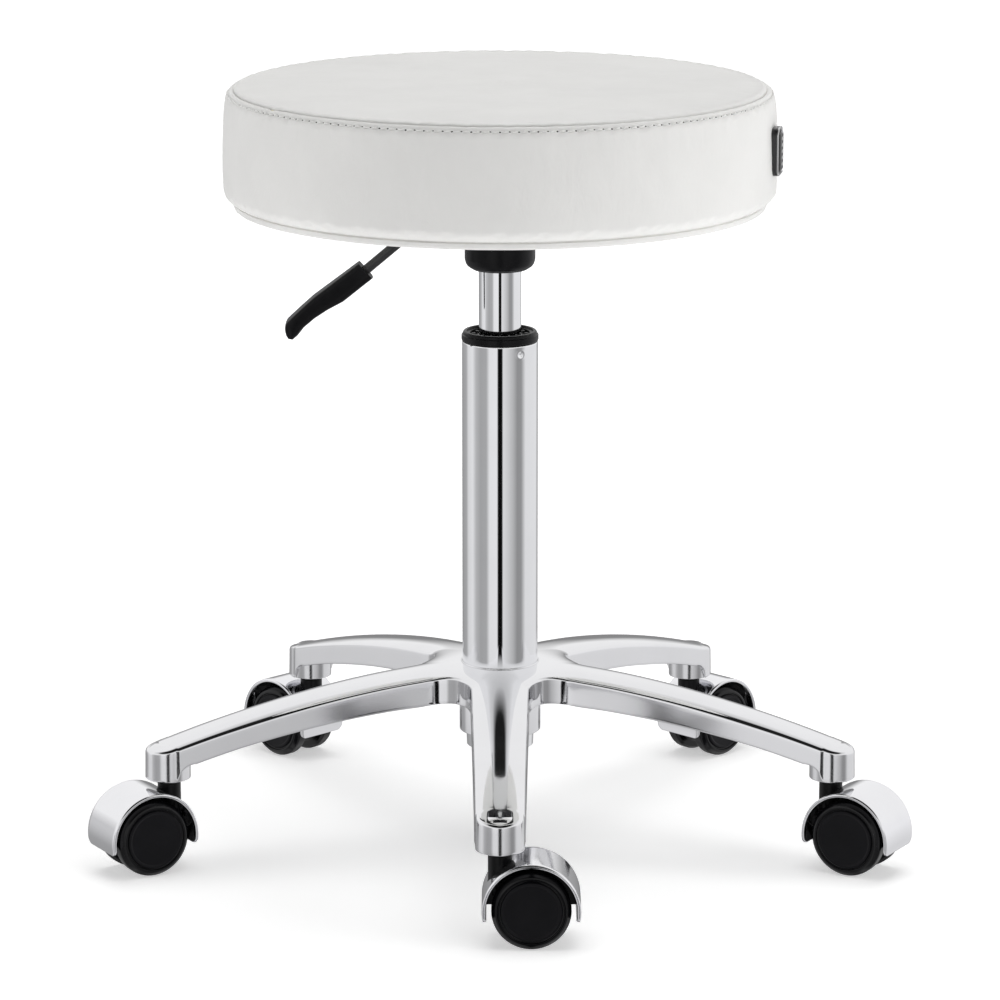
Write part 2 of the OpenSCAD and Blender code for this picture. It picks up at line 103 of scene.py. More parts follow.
def rounded(points, steps=5):
    """Polyline through (x, y, radius) points, with each corner turned into an arc."""
    out = []
    for i, (x, y, rad) in enumerate(points):
        if rad <= 0 or i in (0, len(points) - 1):
            out.append((x, y))
            continue
        p = Vector((x, y))
        a = Vector(points[i - 1][:2]) - p
        b = Vector(points[i + 1][:2]) - p
        half = a.angle(b) / 2
        reach = min(rad / math.tan(half), a.length * 0.49, b.length * 0.49)
        r = reach * math.tan(half)
        a.normalize()
        b.normalize()
        centre = p + (a + b).normalized() * (r / math.sin(half))
        v0 = p + a * reach - centre
        v1 = p + b * reach - centre
        for k in range(steps + 1):
            q = centre + v0.lerp(v1, k / steps).normalized() * r
            out.append((q.x, q.y))
    return out


def lathe(profile, seg=128, closed=True):
    """Solid of revolution about Z of (radius, height) points."""
    verts, faces, rings = [], [], []
    turns = [(math.cos(2 * math.pi * k / seg), math.sin(2 * math.pi * k / seg)) for k in range(seg)]
    for r, z in profile:
        if r < 1e-6:
            rings.append([len(verts)])
            verts.append((0.0, 0.0, z))
        else:
            rings.append(list(range(len(verts), len(verts) + seg)))
            verts += [(r * c, r * s, z) for c, s in turns]
    pairs = list(zip(rings, rings[1:]))
    if closed:
        pairs.append((rings[-1], rings[0]))
    for a, b in pairs:
        if len(a) == 1 and len(b) == 1:
            continue
        for k in range(seg):
            n = (k + 1) % seg
            face = [a[k % len(a)], a[n % len(a)], b[n % len(b)], b[k % len(b)]]
            faces.append(list(dict.fromkeys(face)))
    return verts, faces


def joined(*parts):
    """One list of points and faces from several."""
    verts, faces = [], []
    for v, f in parts:
        base = len(verts)
        verts += list(v)
        faces += [[i + base for i in face] for face in f]
    return verts, faces


def moved(part, matrix):
    verts, faces = part
    return [tuple(matrix @ Vector(v)) for v in verts], faces


def loft(sections, cap=True, loop=True):
    """Skin over rings of equal length."""
    n = len(sections[0])
    verts = [p for ring in sections for p in ring]
    faces = []
    for j in range(len(sections) - 1):
        for k in range(n if loop else n - 1):
            m = (k + 1) % n
            faces.append([j * n + k, j * n + m, (j + 1) * n + m, (j + 1) * n + k])
    if cap:
        faces.append(list(range(n)))
        faces.append(list(range((len(sections) - 1) * n, len(sections) * n)))
    return verts, faces


def sweep(path, radius, sides=16):
    """Tube along a path of points in the XZ plane or in space."""
    rings = []
    points = [Vector(p) for p in path]
    for i, p in enumerate(points):
        t = (points[min(i + 1, len(points) - 1)] - points[max(i - 1, 0)]).normalized()
        side = Vector((0, 1, 0)) if abs(t.y) < 0.9 else Vector((1, 0, 0))
        u = t.cross(side).normalized()
        v = t.cross(u)
        r = radius[i] if isinstance(radius, list) else radius
        rings.append([tuple(p + u * r * math.cos(2 * math.pi * k / sides)
                            + v * r * math.sin(2 * math.pi * k / sides)) for k in range(sides)])
    return loft(rings)


def circle(count):
    """Evenly spaced angles of one turn."""
    return [2 * math.pi * q / count for q in range(count)]


def table(x, pairs):
    """Piecewise linear value at x."""
    return float(np.interp(x, [p[0] for p in pairs], [p[1] for p in pairs]))


# ------------------------------------------------------------------ materials

def add_node(tree, kind, operation=None, **values):
    """A new shader node; values go to the inputs of those names, with underscores for spaces."""
    node = tree.nodes.new("ShaderNode" + kind)
    if operation:
        node.operation = operation
    for key, value in values.items():
        node.inputs[key.replace("_", " ")].default_value = value
    return node


class Look:
    """A Principled material whose patterns come from the object's own coordinates."""

    def __init__(self, name, color, metallic=0.0, rough=0.4, **sockets):
        self.mat = bpy.data.materials.new(name)
        self.mat.use_nodes = True
        self.tree = self.mat.node_tree
        self.bsdf = self.tree.nodes["Principled BSDF"]
        self.set("Base Color", (*color, 1.0))
        self.set("Metallic", metallic)
        self.set("Roughness", rough)
        for key, value in sockets.items():
            self.set(key.replace("_", " "), value)
        self.coord = self.node("TexCoord").outputs["Object"]
        self.height = None

    def set(self, socket, value):
        self.bsdf.inputs[socket].default_value = value

    def link(self, a, b):
        self.tree.links.new(a, b)

    def node(self, kind, operation=None, **values):
        return add_node(self.tree, kind, operation, **values)

    def space(self, scale):
        node = self.node("Mapping", Scale=scale)
        self.link(self.coord, node.inputs["Vector"])
        return node.outputs["Vector"]

    def noise(self, scale, detail=4.0, rough=0.55, warp=0.0, stretch=(1, 1, 1)):
        node = self.node("TexNoise", Scale=scale, Detail=detail, Roughness=rough, Distortion=warp)
        self.link(self.space(stretch), node.inputs["Vector"])
        return node.outputs["Fac"]

    def cells(self, scale, feature="F1", stretch=(1, 1, 1), random=1.0):
        node = self.node("TexVoronoi", Scale=scale, Randomness=random)
        node.feature = feature
        self.link(self.space(stretch), node.inputs["Vector"])
        return node.outputs["Distance"]

    def rings(self, scale, warp=1.0, direction="Z"):
        node = self.node("TexWave", Scale=scale, Distortion=warp, Detail=3.0)
        node.bands_direction = direction
        self.link(self.coord, node.inputs["Vector"])
        return node.outputs["Fac"]

    def spread(self, fac, low, high, start=0.3, end=0.7):
        node = self.node("MapRange", From_Min=start, From_Max=end, To_Min=low, To_Max=high)
        self.link(fac, node.inputs["Value"])
        return node.outputs["Result"]

    def combine(self, a, b, operation="ADD"):
        node = self.node("Math", operation)
        for value, socket in ((a, node.inputs[0]), (b, node.inputs[1])):
            if isinstance(value, (int, float)):
                socket.default_value = value
            else:
                self.link(value, socket)
        return node.outputs[0]

    def tint(self, fac, first, second, start=0.35, end=0.65):
        node = self.node("ValToRGB")
        stops = node.color_ramp.elements
        stops[0].position, stops[0].color = start, (*first, 1.0)
        stops[1].position, stops[1].color = end, (*second, 1.0)
        self.link(fac, node.inputs["Fac"])
        self.link(node.outputs["Color"], self.bsdf.inputs["Base Color"])
        return self

    def roughness(self, fac, low, high, start=0.3, end=0.7):
        self.link(self.spread(fac, low, high, start, end), self.bsdf.inputs["Roughness"])
        return self

    def bump(self, fac, distance, strength=1.0):
        node = self.node("Bump", Distance=distance * MM, Strength=strength)
        self.link(fac, node.inputs["Height"])
        if self.height is not None:
            self.link(self.height, node.inputs["Normal"])
        self.height = node.outputs["Normal"]
        self.link(self.height, self.bsdf.inputs["Normal"])
        return self


def shade(color, factor):
    return tuple(min(c * factor, 1.0) for c in color)


def polished(name, color, low, high, peel=0.0, streaks=(1, 1, 0.15), satin_walls=0.0):
    """Bright metal with faint hand marks, fine polishing lines and orange peel."""
    look = Look(name, color, metallic=1.0, rough=low)
    marks = look.noise(22, detail=5, rough=0.6, warp=0.4)
    lines = look.noise(900, detail=2, stretch=streaks)
    soil = look.combine(look.combine(marks, 0.75, "MULTIPLY"), look.combine(lines, 0.25, "MULTIPLY"))
    if satin_walls:
        # upright faces are only brushed, and the faces that look up are buffed
        split = look.node("SeparateXYZ")
        look.link(look.node("TexCoord").outputs["Normal"], split.inputs[0])
        upright = look.spread(split.outputs["Z"], satin_walls, 0.0, 0.12, 0.4)
        # the hub and the root of each arm stay as bright as the tops
        length = look.node("VectorMath", "LENGTH")
        look.link(look.space((1, 1, 0)), length.inputs[0])
        outboard = look.spread(length.outputs["Value"], 0.0, 1.0, 0.045, 0.075)
        buffed = look.spread(soil, low, high, 0.35, 0.65)
        look.link(look.combine(buffed, look.combine(upright, outboard, "MULTIPLY")),
                  look.bsdf.inputs["Roughness"])
    else:
        look.roughness(soil, low, high, 0.35, 0.65)
    look.tint(marks, shade(color, 0.97), color)
    if peel:
        look.bump(look.noise(70, detail=2), peel, 1.0)
    look.bump(lines, 0.0006, 0.5)
    return look.mat


def plated(name, color, low, high, grain=1400):
    """Zinc plate or ground steel with a fine crystalline mottling."""
    look = Look(name, color, metallic=1.0, rough=low)
    spots = look.noise(160, detail=6, rough=0.7)
    look.tint(spots, shade(color, 0.78), shade(color, 1.08))
    look.roughness(look.noise(60, detail=5), low, high)
    look.bump(look.noise(grain, detail=2), 0.004, 0.5)
    return look.mat


def moulded(name, color, low, high, grain=2600, depth=0.012, **sockets):
    """Moulded plastic or paint with a spark-eroded grain and rubbed patches."""
    look = Look(name, color, rough=low, **sockets)
    rub = look.noise(35, detail=6, rough=0.62, warp=0.3)
    look.tint(rub, shade(color, 0.85), tuple(c * 1.25 + 0.001 for c in color), 0.3, 0.75)
    look.roughness(rub, low, high)
    look.bump(look.noise(grain, detail=2, rough=0.5), depth, 0.6)
    return look.mat


def leather():
    base = (0.800, 0.795, 0.780)
    look = Look("white_leather", base, rough=0.46, IOR=1.47, Sheen_Weight=0.06, Sheen_Roughness=0.4)
    patches = look.noise(14, detail=5, rough=0.6)
    look.tint(patches, shade(base, 0.975), shade(base, 1.015))
    look.roughness(look.noise(45, detail=5), 0.40, 0.53)
    pebble = look.cells(1150, "SMOOTH_F1")
    pores = look.noise(2600, detail=2)
    creases = look.noise(60, detail=7, rough=0.62, warp=1.2, stretch=(1, 1, 0.45))
    wrinkles = look.noise(150, detail=6, rough=0.6, warp=1.6, stretch=(1, 1, 0.4))
    look.bump(creases, 1.3, 0.45)
    look.bump(wrinkles, 0.45, 0.45)
    look.bump(pebble, 0.05, 0.30)
    look.bump(pores, 0.012, 0.35)
    return look.mat


def thread():
    look = Look("seam_thread", (0.83, 0.825, 0.81), rough=0.55, Sheen_Weight=0.25)
    look.tint(look.noise(800, detail=3), (0.74, 0.735, 0.72), (0.86, 0.855, 0.84))
    look.bump(look.rings(900, 0.6, "DIAGONAL"), 0.08, 0.6)
    return look.mat


def plywood():
    look = Look("plywood", (0.68, 0.50, 0.31), rough=0.6)
    layers = look.rings(210, 0.25)
    grain = look.noise(120, detail=8, rough=0.65, stretch=(0.12, 1, 1))
    look.tint(look.combine(look.combine(layers, 0.45, "MULTIPLY"), look.combine(grain, 0.55, "MULTIPLY")),
              (0.42, 0.27, 0.14), (0.76, 0.58, 0.37), 0.25, 0.7)
    look.roughness(grain, 0.5, 0.75)
    look.bump(grain, 0.06, 0.6)
    return look.mat


def foam():
    look = Look("foam", (0.88, 0.80, 0.58), rough=0.9, Subsurface_Weight=0.08)
    holes = look.cells(700)
    look.tint(holes, (0.62, 0.52, 0.32), (0.90, 0.82, 0.60), 0.05, 0.45)
    look.roughness(holes, 0.8, 0.95)
    look.bump(holes, 0.5, 0.7)
    return look.mat


def nonwoven():
    look = Look("dust_fabric", (0.72, 0.72, 0.70), rough=0.9, Sheen_Weight=0.15, Sheen_Roughness=0.5)
    fibres = look.noise(900, detail=6, rough=0.75, warp=2.0)
    dots = look.cells(650, random=0.1)
    look.tint(fibres, (0.62, 0.62, 0.60), (0.76, 0.76, 0.74))
    look.roughness(fibres, 0.8, 0.95)
    look.bump(dots, 0.08, 0.6)
    look.bump(fibres, 0.04, 0.5)
    return look.mat


LOOKS = {
    "cast_aluminium": polished("cast_aluminium", (0.80, 0.80, 0.815), 0.03, 0.07, peel=0.006,
                               streaks=(1, 1, 1), satin_walls=0.11),
    "column_chrome": polished("column_chrome", (0.86, 0.865, 0.88), 0.03, 0.065),
    "hood_chrome": polished("hood_chrome", (0.84, 0.84, 0.86), 0.05, 0.10, peel=0.004),
    "black_plastic": moulded("black_plastic", (0.0030, 0.0030, 0.0036), 0.24, 0.36, IOR=1.25),
    "black_nylon": moulded("black_nylon", (0.016, 0.016, 0.017), 0.32, 0.44, grain=1500),
    "wheel_nylon": moulded("wheel_nylon", (0.0020, 0.0020, 0.0026), 0.10, 0.20, grain=900, depth=0.004,
                           IOR=1.36),
    "bearing_steel": plated("bearing_steel", (0.50, 0.50, 0.52), 0.14, 0.26),
    "zinc_steel": plated("zinc_steel", (0.62, 0.62, 0.63), 0.24, 0.42),
    "rod_steel": polished("rod_steel", (0.75, 0.75, 0.76), 0.06, 0.12),
    "brass": plated("brass", (0.70, 0.52, 0.26), 0.22, 0.38),
    "black_rubber": moulded("black_rubber", (0.022, 0.022, 0.022), 0.70, 0.85, grain=1200, depth=0.03),
    "black_steel": moulded("black_steel", (0.013, 0.013, 0.014), 0.28, 0.42, grain=1300, depth=0.018,
                           Coat_Weight=0.15),
    "plywood": plywood(),
    "foam": foam(),
    "white_leather": leather(),
    "dust_fabric": nonwoven(),
    "badge_metal": polished("badge_metal", (0.60, 0.60, 0.60), 0.22, 0.34, streaks=(1, 1, 0.1)),
}
DISC = moulded("wheel_disc", (0.0040, 0.0039, 0.0052), 0.36, 0.48, grain=1800, depth=0.02, IOR=1.25)
THREAD = thread()
# the needle holes' dark colour is painted shade, standing in for the shade inside each hole
HOLE_SHADE = moulded("needle_hole_shade", (0.030, 0.028, 0.025), 0.8, 0.9)
# dark enamel of the badge's black field; on the backing it also paints the shade on the badge's side wall
ENAMEL_AND_SHADE = moulded("badge_enamel_and_shade", (0.012, 0.012, 0.013), 0.22, 0.32)

for sub in RECORD["subparts"]:
    node = frame["nodes"].get(sub["node"])
    if node is not None:
        node.data.materials.clear()
        node.data.materials.append(LOOKS[sub["material_slot"]])


# ------------------------------------------------------------------ base casting

def arm_top(r):
    return HUB_TOP - 0.6 - 36.0 * (max(r - HUB_R, 0.0) / (STEM_CIRCLE_R - HUB_R)) ** 1.75


CROWN = ((26, 0.2), (40, 0.7), (48, 1.3), (56, 2.4), (65, 2.7), (150, 2.7), (180, 2.5), (200, 2.2),
         (225, 2.0), (242, 1.8))
WALL_H = ((48, 17.9), (65, 17.9), (82, 17.2), (110, 16.4), (138, 15.6), (183, 14.6), (215, 14.8),
          (242, 14.6))
EDGE_R = 1.8
DRAFT = 0.3
CAST_T = 4.0
SPINE_R = 25.9
TIP_SIDE_X = 224.9
DIP_START = 213.5
HALF_GAP = math.radians(36)   # from an arm's middle to the middle of the web beside it
SPREAD_X = 207.0              # where the outline's points come closer together
BOSS_POINTS = 13


def half_outline():
    """(outline point, spine point) pairs of half an arm, from the middle of the web to the tip."""
    at = (ARM_ROOT_W / 2 + FILLET_R - 0.05) / math.sin(HALF_GAP)
    cx, cy = at * math.cos(HALF_GAP), at * math.sin(HALF_GAP)
    pairs = []
    steps = 16
    for i in range(steps + 1):
        f = i / steps
        a = math.radians(216 + 54 * f)
        b = HALF_GAP * (1 - f)
        pairs.append(((cx + FILLET_R * math.cos(a), cy + FILLET_R * math.sin(a)),
                      (SPINE_R * math.cos(b), SPINE_R * math.sin(b))))
    x0, y0 = pairs[-1][0]
    xs = [x0 + (SPREAD_X - x0) * i / 38 for i in range(1, 39)]
    xs += [SPREAD_X + (TIP_SIDE_X - SPREAD_X) * i / 18 for i in range(1, 19)]
    for x in xs:
        f = (x - x0) / (TIP_SIDE_X - x0)
        pairs.append(((x, y0 + (ARM_TIP_W / 2 + 0.1 - y0) * f), (SPINE_R + (223.5 - SPINE_R) * f, 0.0)))
    for i in range(BOSS_POINTS):
        f = i / (BOSS_POINTS - 1)
        a = math.radians(97 * (1 - f))
        pairs.append(((STEM_CIRCLE_R + BOSS_R * math.cos(a), BOSS_R * math.sin(a)), (224.0 + 12 * f, 0.0)))
    return pairs


def wall_foot(x, y, on_boss):
    """Height of the lower edge of the casting's side wall."""
    r = math.hypot(x, y)
    if on_boss:
        return BOSS_BOTTOM + 0.3
    foot = arm_top(r) - table(r, CROWN) - table(r, WALL_H)
    if x > DIP_START:
        start = arm_top(DIP_START) - table(DIP_START, CROWN) - table(DIP_START, WALL_H)
        span = start - BOSS_BOTTOM - 0.3
        f = min((x - DIP_START) / 12.0, 1.0)
        foot = start - span * (1 - math.sqrt(max(1 - f * f, 0.0)))
    return foot


def outline_normals(outline, boss_from):
    """Directions that point out of the arm at each outline point."""
    normals = [Vector((math.cos(HALF_GAP), math.sin(HALF_GAP)))]
    for i in range(1, len(outline)):
        if i >= boss_from:
            normals.append((outline[i] - Vector((STEM_CIRCLE_R, 0))).normalized())
            continue
        t = outline[min(i + 1, boss_from - 1)] - outline[i - 1]
        normals.append(Vector((-t.y, t.x)).normalized())
        if normals[-1].dot(Vector((0, 1))) < 0:
            normals[-1].negate()
    normals[-1] = Vector((1, 0))
    return normals


def crowned(p, v, drop=0.0):
    """The point of the arm's top above p, a fraction v of the way from the spine to the rim."""
    r = p.length
    return (p.x, p.y, arm_top(r) - table(r, CROWN) * v ** 3 - drop)


def shell_row(o, nrm, spine, on_boss):
    """Points from the spine over the top, round the rim, down the wall and back under the top."""
    row = []
    rim = o - nrm * (EDGE_R + DRAFT)
    for v in (0, .12, .25, .38, .5, .61, .71, .8, .88, .95, 1.0):
        q = spine.lerp(rim, v)
        across = min(q.y / (ARM_TIP_W / 2 - 1.5), 1.0) if on_boss else v
        row.append(crowned(q, across))
    top = row[-1][2]
    step = math.hypot(row[-1][0] - row[-2][0], row[-1][1] - row[-2][1])
    lean = math.atan2(max(row[-2][2] - top, 0.0), step)
    bend = 1 - math.sin(lean)
    for f in (0.14, 0.28, 0.42, 0.56, 0.7, 0.85, 1.0):
        t = lean + (math.pi / 2 - lean) * f
        q = rim + nrm * EDGE_R * (math.sin(t) - math.sin(lean)) / bend
        row.append((q.x, q.y, top - EDGE_R * (math.cos(lean) - math.cos(t)) / bend))
    drop = EDGE_R * math.cos(lean) / bend
    foot = wall_foot(o.x, o.y, on_boss)
    for f in (0.2, 0.45, 0.7, 0.9):
        q = o - nrm * DRAFT * (1 - f)
        row.append((q.x, q.y, (top - drop) * (1 - f) + (foot + 0.7) * f))
    for a in (0, 30, 60, 90):
        t = math.radians(a)
        q = o - nrm * 0.7 * (1 - math.cos(t))
        row.append((q.x, q.y, foot + 0.7 * (1 - math.sin(t))))
    for a in (0, 45, 90):
        t = math.radians(a)
        q = o - nrm * (CAST_T - 0.6 * (1 - math.sin(t)))
        row.append((q.x, q.y, foot + 0.6 * (1 - math.cos(t))))
    inner = o - nrm * (CAST_T + 0.5)
    ceiling = crowned(inner, 0.9, CAST_T)[2]
    row.append((inner.x, inner.y, ceiling - 1.0))
    inner = o - nrm * (CAST_T + 1.5)
    row.append((inner.x, inner.y, ceiling))
    for v in (0.75, 0.5, 0.25, 0.0):
        row.append(crowned(spine.lerp(inner, v), v * 0.9, CAST_T))
    return row


def base_shell():
    """The five arms and their hub as one closed skin."""
    pairs = half_outline()
    boss_from = len(pairs) - BOSS_POINTS
    outline = [Vector(p) for p, _ in pairs]
    rows = []
    for i, normal in enumerate(outline_normals(outline, boss_from)):
        rows.append(shell_row(outline[i], normal, Vector(pairs[i][1]), i >= boss_from))
    # half arm, mirrored and turned to all five arms, as one closed loop of rows
    loop = []
    for a in ARM_AZ:
        c, d = math.cos(math.radians(a)), math.sin(math.radians(a))
        for row in rows[:-1]:
            loop.append([(x * c + y * d, x * d - y * c, z) for x, y, z in row])
        for row in reversed(rows[1:]):
            loop.append([(x * c - y * d, x * d + y * c, z) for x, y, z in row])
    width = len(rows[0])
    verts = [p for row in loop for p in row]
    faces = []
    count = len(loop)
    for j in range(count):
        m = (j + 1) % count
        for k in range(width - 1):
            faces.append([j * width + k, m * width + k, m * width + k + 1, j * width + k + 1])
    return verts, faces


def base_details():
    """Hub, bosses and ribs that stand inside the shell."""
    hub = lathe(rounded([
        (24.05, HUB_BOTTOM, 0), (HUB_R, HUB_BOTTOM, 0.8), (HUB_R, 112.0, 0), (SPINE_R + 0.1, 116.5, 0),
        (SPINE_R + 0.1, HUB_TOP, 0.45), (COLUMN_R + 0.04, HUB_TOP, 0.3), (COLUMN_R + 0.02, 118.0, 0)]), 160)
    parts = [hub]
    boss = lathe(rounded([
        (5.6, 81.0, 0), (5.6, BOSS_BOTTOM, 0.4), (14.2, BOSS_BOTTOM, 0.6), (14.4, 79.5, 0), (9.0, 82.6, 0),
        (0.0, 82.6, 0)])
        + [(0.0, 81.0)], 64)
    for a in ARM_AZ:
        turn = Matrix.Rotation(math.radians(a), 4, "Z")
        parts.append(moved(boss, turn @ Matrix.Translation((STEM_CIRCLE_R, 0, 0))))
        rib = []
        for i in range(13):
            x = HUB_R - 1 + (STEM_CIRCLE_R - 13 - HUB_R) * i / 12
            top = arm_top(x) - CAST_T + 0.6
            foot = arm_top(x) - table(x, CROWN) - table(x, WALL_H) + 2.0
            rib.append([(x, -1.3, top), (x, 1.3, top), (x, 1.0, foot + 0.5), (x, 0.6, foot),
                        (x, -0.6, foot), (x, -1.0, foot + 0.5)])
        parts.append(moved(loft(rib), turn))
        for x in (78.0, 122.0, 166.0):
            w = 19.5 - (x - 57) * 0.0203 - CAST_T + 0.3
            top = arm_top(x) - CAST_T - 1.6
            foot = arm_top(x) - table(x, CROWN) - table(x, WALL_H) + 2.6
            cross = [[(x - 1.2, y, top), (x + 1.2, y, top), (x + 0.9, y, foot),
                      (x - 0.9, y, foot)] for y in (-w, w)]
            parts.append(moved(loft(cross), turn))
    return parts


shell = base_shell()
make("base_casting", *shell, LOOKS["cast_aluminium"], "base", "cast_aluminium", ("star_base",), sharp=38,
     weld=True)
make("base_hub_and_ribs", *joined(*base_details()), LOOKS["cast_aluminium"], "base", "cast_aluminium",
     sharp=38)


# ------------------------------------------------------------------ column, gas lift and cap

def taper(z):
    return COLUMN_R - 2.4 * (118.0 - z) / (118.0 - 73.5)


DIMPLE_AZ = -57      # the punch mark that holds the bush
DIMPLE_Z = 332


def column_tube():
    heights = [120, 150, 180, 210, 240, 270, 300, 320] + [325 + 0.4 * i for i in range(31)]
    outer = [(21.0, 63.0), (taper(64.4), 63.3), (taper(65.5), 65.5), (taper(90), 90), (COLUMN_R, 118.0)]
    outer += [(COLUMN_R, z) for z in heights if z < 337.0]
    outer += [(COLUMN_R - 0.05, 337.3), (COLUMN_R - 0.25, 337.5)]
    inner = [(23.0, 337.5), (23.0, 121.0), (19.5, 72.0), (19.5, 71.0), (5.5, 71.0), (5.5, 68.0),
             (18.5, 68.0), (18.5, 63.0)]
    verts, faces = lathe(outer + inner, 256)
    az = math.radians(DIMPLE_AZ)
    centre = Vector((math.cos(az), math.sin(az), 0)) * COLUMN_R + Vector((0, 0, DIMPLE_Z))
    out = []
    for x, y, z in verts:
        r = math.hypot(x, y)
        d = (Vector((x, y, z)) - centre).length
        if r > COLUMN_R - 0.01 and d < 4.5:
            dip = 1.05 * math.exp(-(d / 1.5) ** 2) - 0.10 * math.exp(-((d - 2.6) / 0.8) ** 2)
            x, y = x * (r - dip) / r, y * (r - dip) / r
        out.append((x, y, z))
    return out, faces


make("column_tube_chrome", *column_tube(), LOOKS["column_chrome"], "base", "column_chrome",
     ("column_tube",), sharp=50)

make("gas_cylinder_chrome", *lathe(rounded([
    (5.1, 95, 0), (13.4, 95, 0), (14, 95.7, 0.4), (14, 240, 0), (14, 388.2, 0), (13.2, 412.2, 0),
    (4.1, 412.2, 0), (4.1, 403.2, 0), (12.2, 403.2, 0), (12.2, 112, 0), (5.1, 112, 0)]), 192),
    LOOKS["column_chrome"], "seat", "column_chrome", ("gas_cylinder",))

make("column_collar_cap", *lathe(rounded([
    (19.6, COLUMN_TOP, 0), (24.8, COLUMN_TOP, 0.2), (24.8, COLUMN_TOP + 0.8, 0.1),
    (25.35, COLUMN_TOP + 1.2, 0.3), (25.35, COLUMN_TOP + 4.5, 0.5), (24.4, COLUMN_TOP + 4.8, 0.2),
    (24.3, COLUMN_TOP + 6.2, 0.5), (23.6, COLUMN_TOP + 7.0, 0.4), (21.8, COLUMN_TOP + 7.0, 0.4),
    (21.5, COLUMN_TOP + 5.8, 0.2), (19.6, COLUMN_TOP + 5.6, 0)]), 160),
    LOOKS["black_plastic"], "base", "black_plastic", ("column_collar",))


def guide_bush():
    top = COLUMN_TOP + 3.8
    body = lathe(rounded([
        (14.05, 268, 0), (22.9, 268, 0.5), (22.9, 337.4, 0), (19.5, 337.4, 0), (19.5, top + 0.4, 0.2),
        (17.2, top + 0.4, 0.2), (16.9, top - 0.4, 0.2), (14.9, top - 0.2, 0.2), (14.6, top + 0.5, 0.2),
        (14.05, top + 0.5, 0.2)]), 128)
    parts = [body]
    for i in range(12):
        turn = Matrix.Rotation(2 * math.pi * i / 12, 4, "Z")
        ring = [[(x, -w, z), (x, w, z), (x, w - 0.3, top + h), (x, -w + 0.3, top + h)]
                for x, w, z, h in ((15.9, 1.15, top - 0.6, 0.7), (16.3, 1.2, top - 0.6, 1.3),
                                   (18.4, 1.3, top - 0.6, 1.4), (18.9, 1.25, top - 0.6, 0.9))]
        parts.append(moved(loft(ring), turn))
    return joined(*parts)


make("guide_bush_ring", *guide_bush(), LOOKS["black_nylon"], "base", "black_nylon", ("guide_bush",))

make("socket_cap_shell", *lathe(rounded([
    (14.45, 387.2, 0), (14.45, 385.5, 0.2), (14.9, 385.2, 0.2), (17.6, 385.25, 3.0), (22.2, 388.2, 6.0),
    (23.2, 392.5, 3.0), (23.2, 403.9, 0.3), (22.9, 404.2, 0.2), (17.6, 404.2, 0),
    (17.6, 387.2, 0)], 7), 160),
    LOOKS["black_plastic"], "seat", "black_plastic", ("socket_cap",))


# ------------------------------------------------------------------ lever

ROD_R = 3.25
LEVER_Z = 418.65
SLOPE = math.radians(40)
BEND_X = -47.1
BEND_R = 10.0


def lever_path():
    cut = BEND_R * math.tan(SLOPE / 2)
    path = [(6, 0, LEVER_Z), (4, 0, LEVER_Z), (-10, 0, LEVER_Z), (-25, 0, LEVER_Z),
            (BEND_X + cut + 3, 0, LEVER_Z)]
    for i in range(13):
        a = SLOPE * i / 12
        path.append((BEND_X + cut - BEND_R * math.sin(a), 0, LEVER_Z - BEND_R * (1 - math.cos(a))))
    for x in (-56, -70, -88, -104):
        path.append((x, 0, LEVER_Z - (BEND_X - x) * math.tan(SLOPE)))
    return path


make("lever_rod_bar", *sweep(lever_path(), [2.7] + [ROD_R] * 21, 32), LOOKS["black_steel"], "lever",
     "black_steel", ("lever_rod",), sharp=40)


def lever_handle():
    stations = (  # (top x, top z), (under x, under z), width
        ((-91.7, 389.1), (-83.7, 380.2), 12.6), ((-92.3, 389.8), (-83.1, 379.5), 14.6),
        ((-93.4, 389.0), (-84.2, 378.6), 15.2),
        ((-102.0, 382.5), (-92.5, 372.0), 16.0), ((-112.0, 375.0), (-102.4, 364.1), 17.0),
        ((-122.0, 367.5), (-112.9, 358.5), 18.0), ((-130.0, 360.3), (-121.2, 353.1), 19.0),
        ((-136.5, 354.2), (-128.2, 347.2), 19.7), ((-139.6, 351.2), (-132.6, 341.6), 20.0),
        ((-140.6, 349.2), (-135.8, 338.9), 19.6), ((-140.9, 346.8), (-138.4, 339.3), 17.6),
        ((-140.7, 345.0), (-139.8, 341.2), 14.4))
    rings = []
    for (tx, tz), (ux, uz), width in stations:
        ring = []
        thick = math.hypot(tx - ux, tz - uz)
        mid = Vector(((tx + ux) / 2, 0, (tz + uz) / 2))
        up = Vector((tx - ux, 0, tz - uz)).normalized()
        for k in range(40):
            a = 2 * math.pi * k / 40
            c, s = math.cos(a), math.sin(a)
            power = 2 / (6.5 if s > 0 else 3.6)
            w = width / 2 * abs(c) ** power * (1 if c > 0 else -1)
            h = thick / 2 * abs(s) ** power * (1 if s > 0 else -1)
            ring.append(tuple(mid + up * h + Vector((0, w, 0))))
        rings.append(ring)
    return loft(rings)


make("lever_handle_grip", *lever_handle(), LOOKS["black_plastic"], "lever", "black_plastic",
     ("lever_handle",), sharp=48)


# ------------------------------------------------------------------ casters

HOOD_C = (TRAIL, AXLE_Z)
HOOD_R = 31.0
HOOD_IN = 28.6
NECK_R = 7.6
WEB_R = 28.45


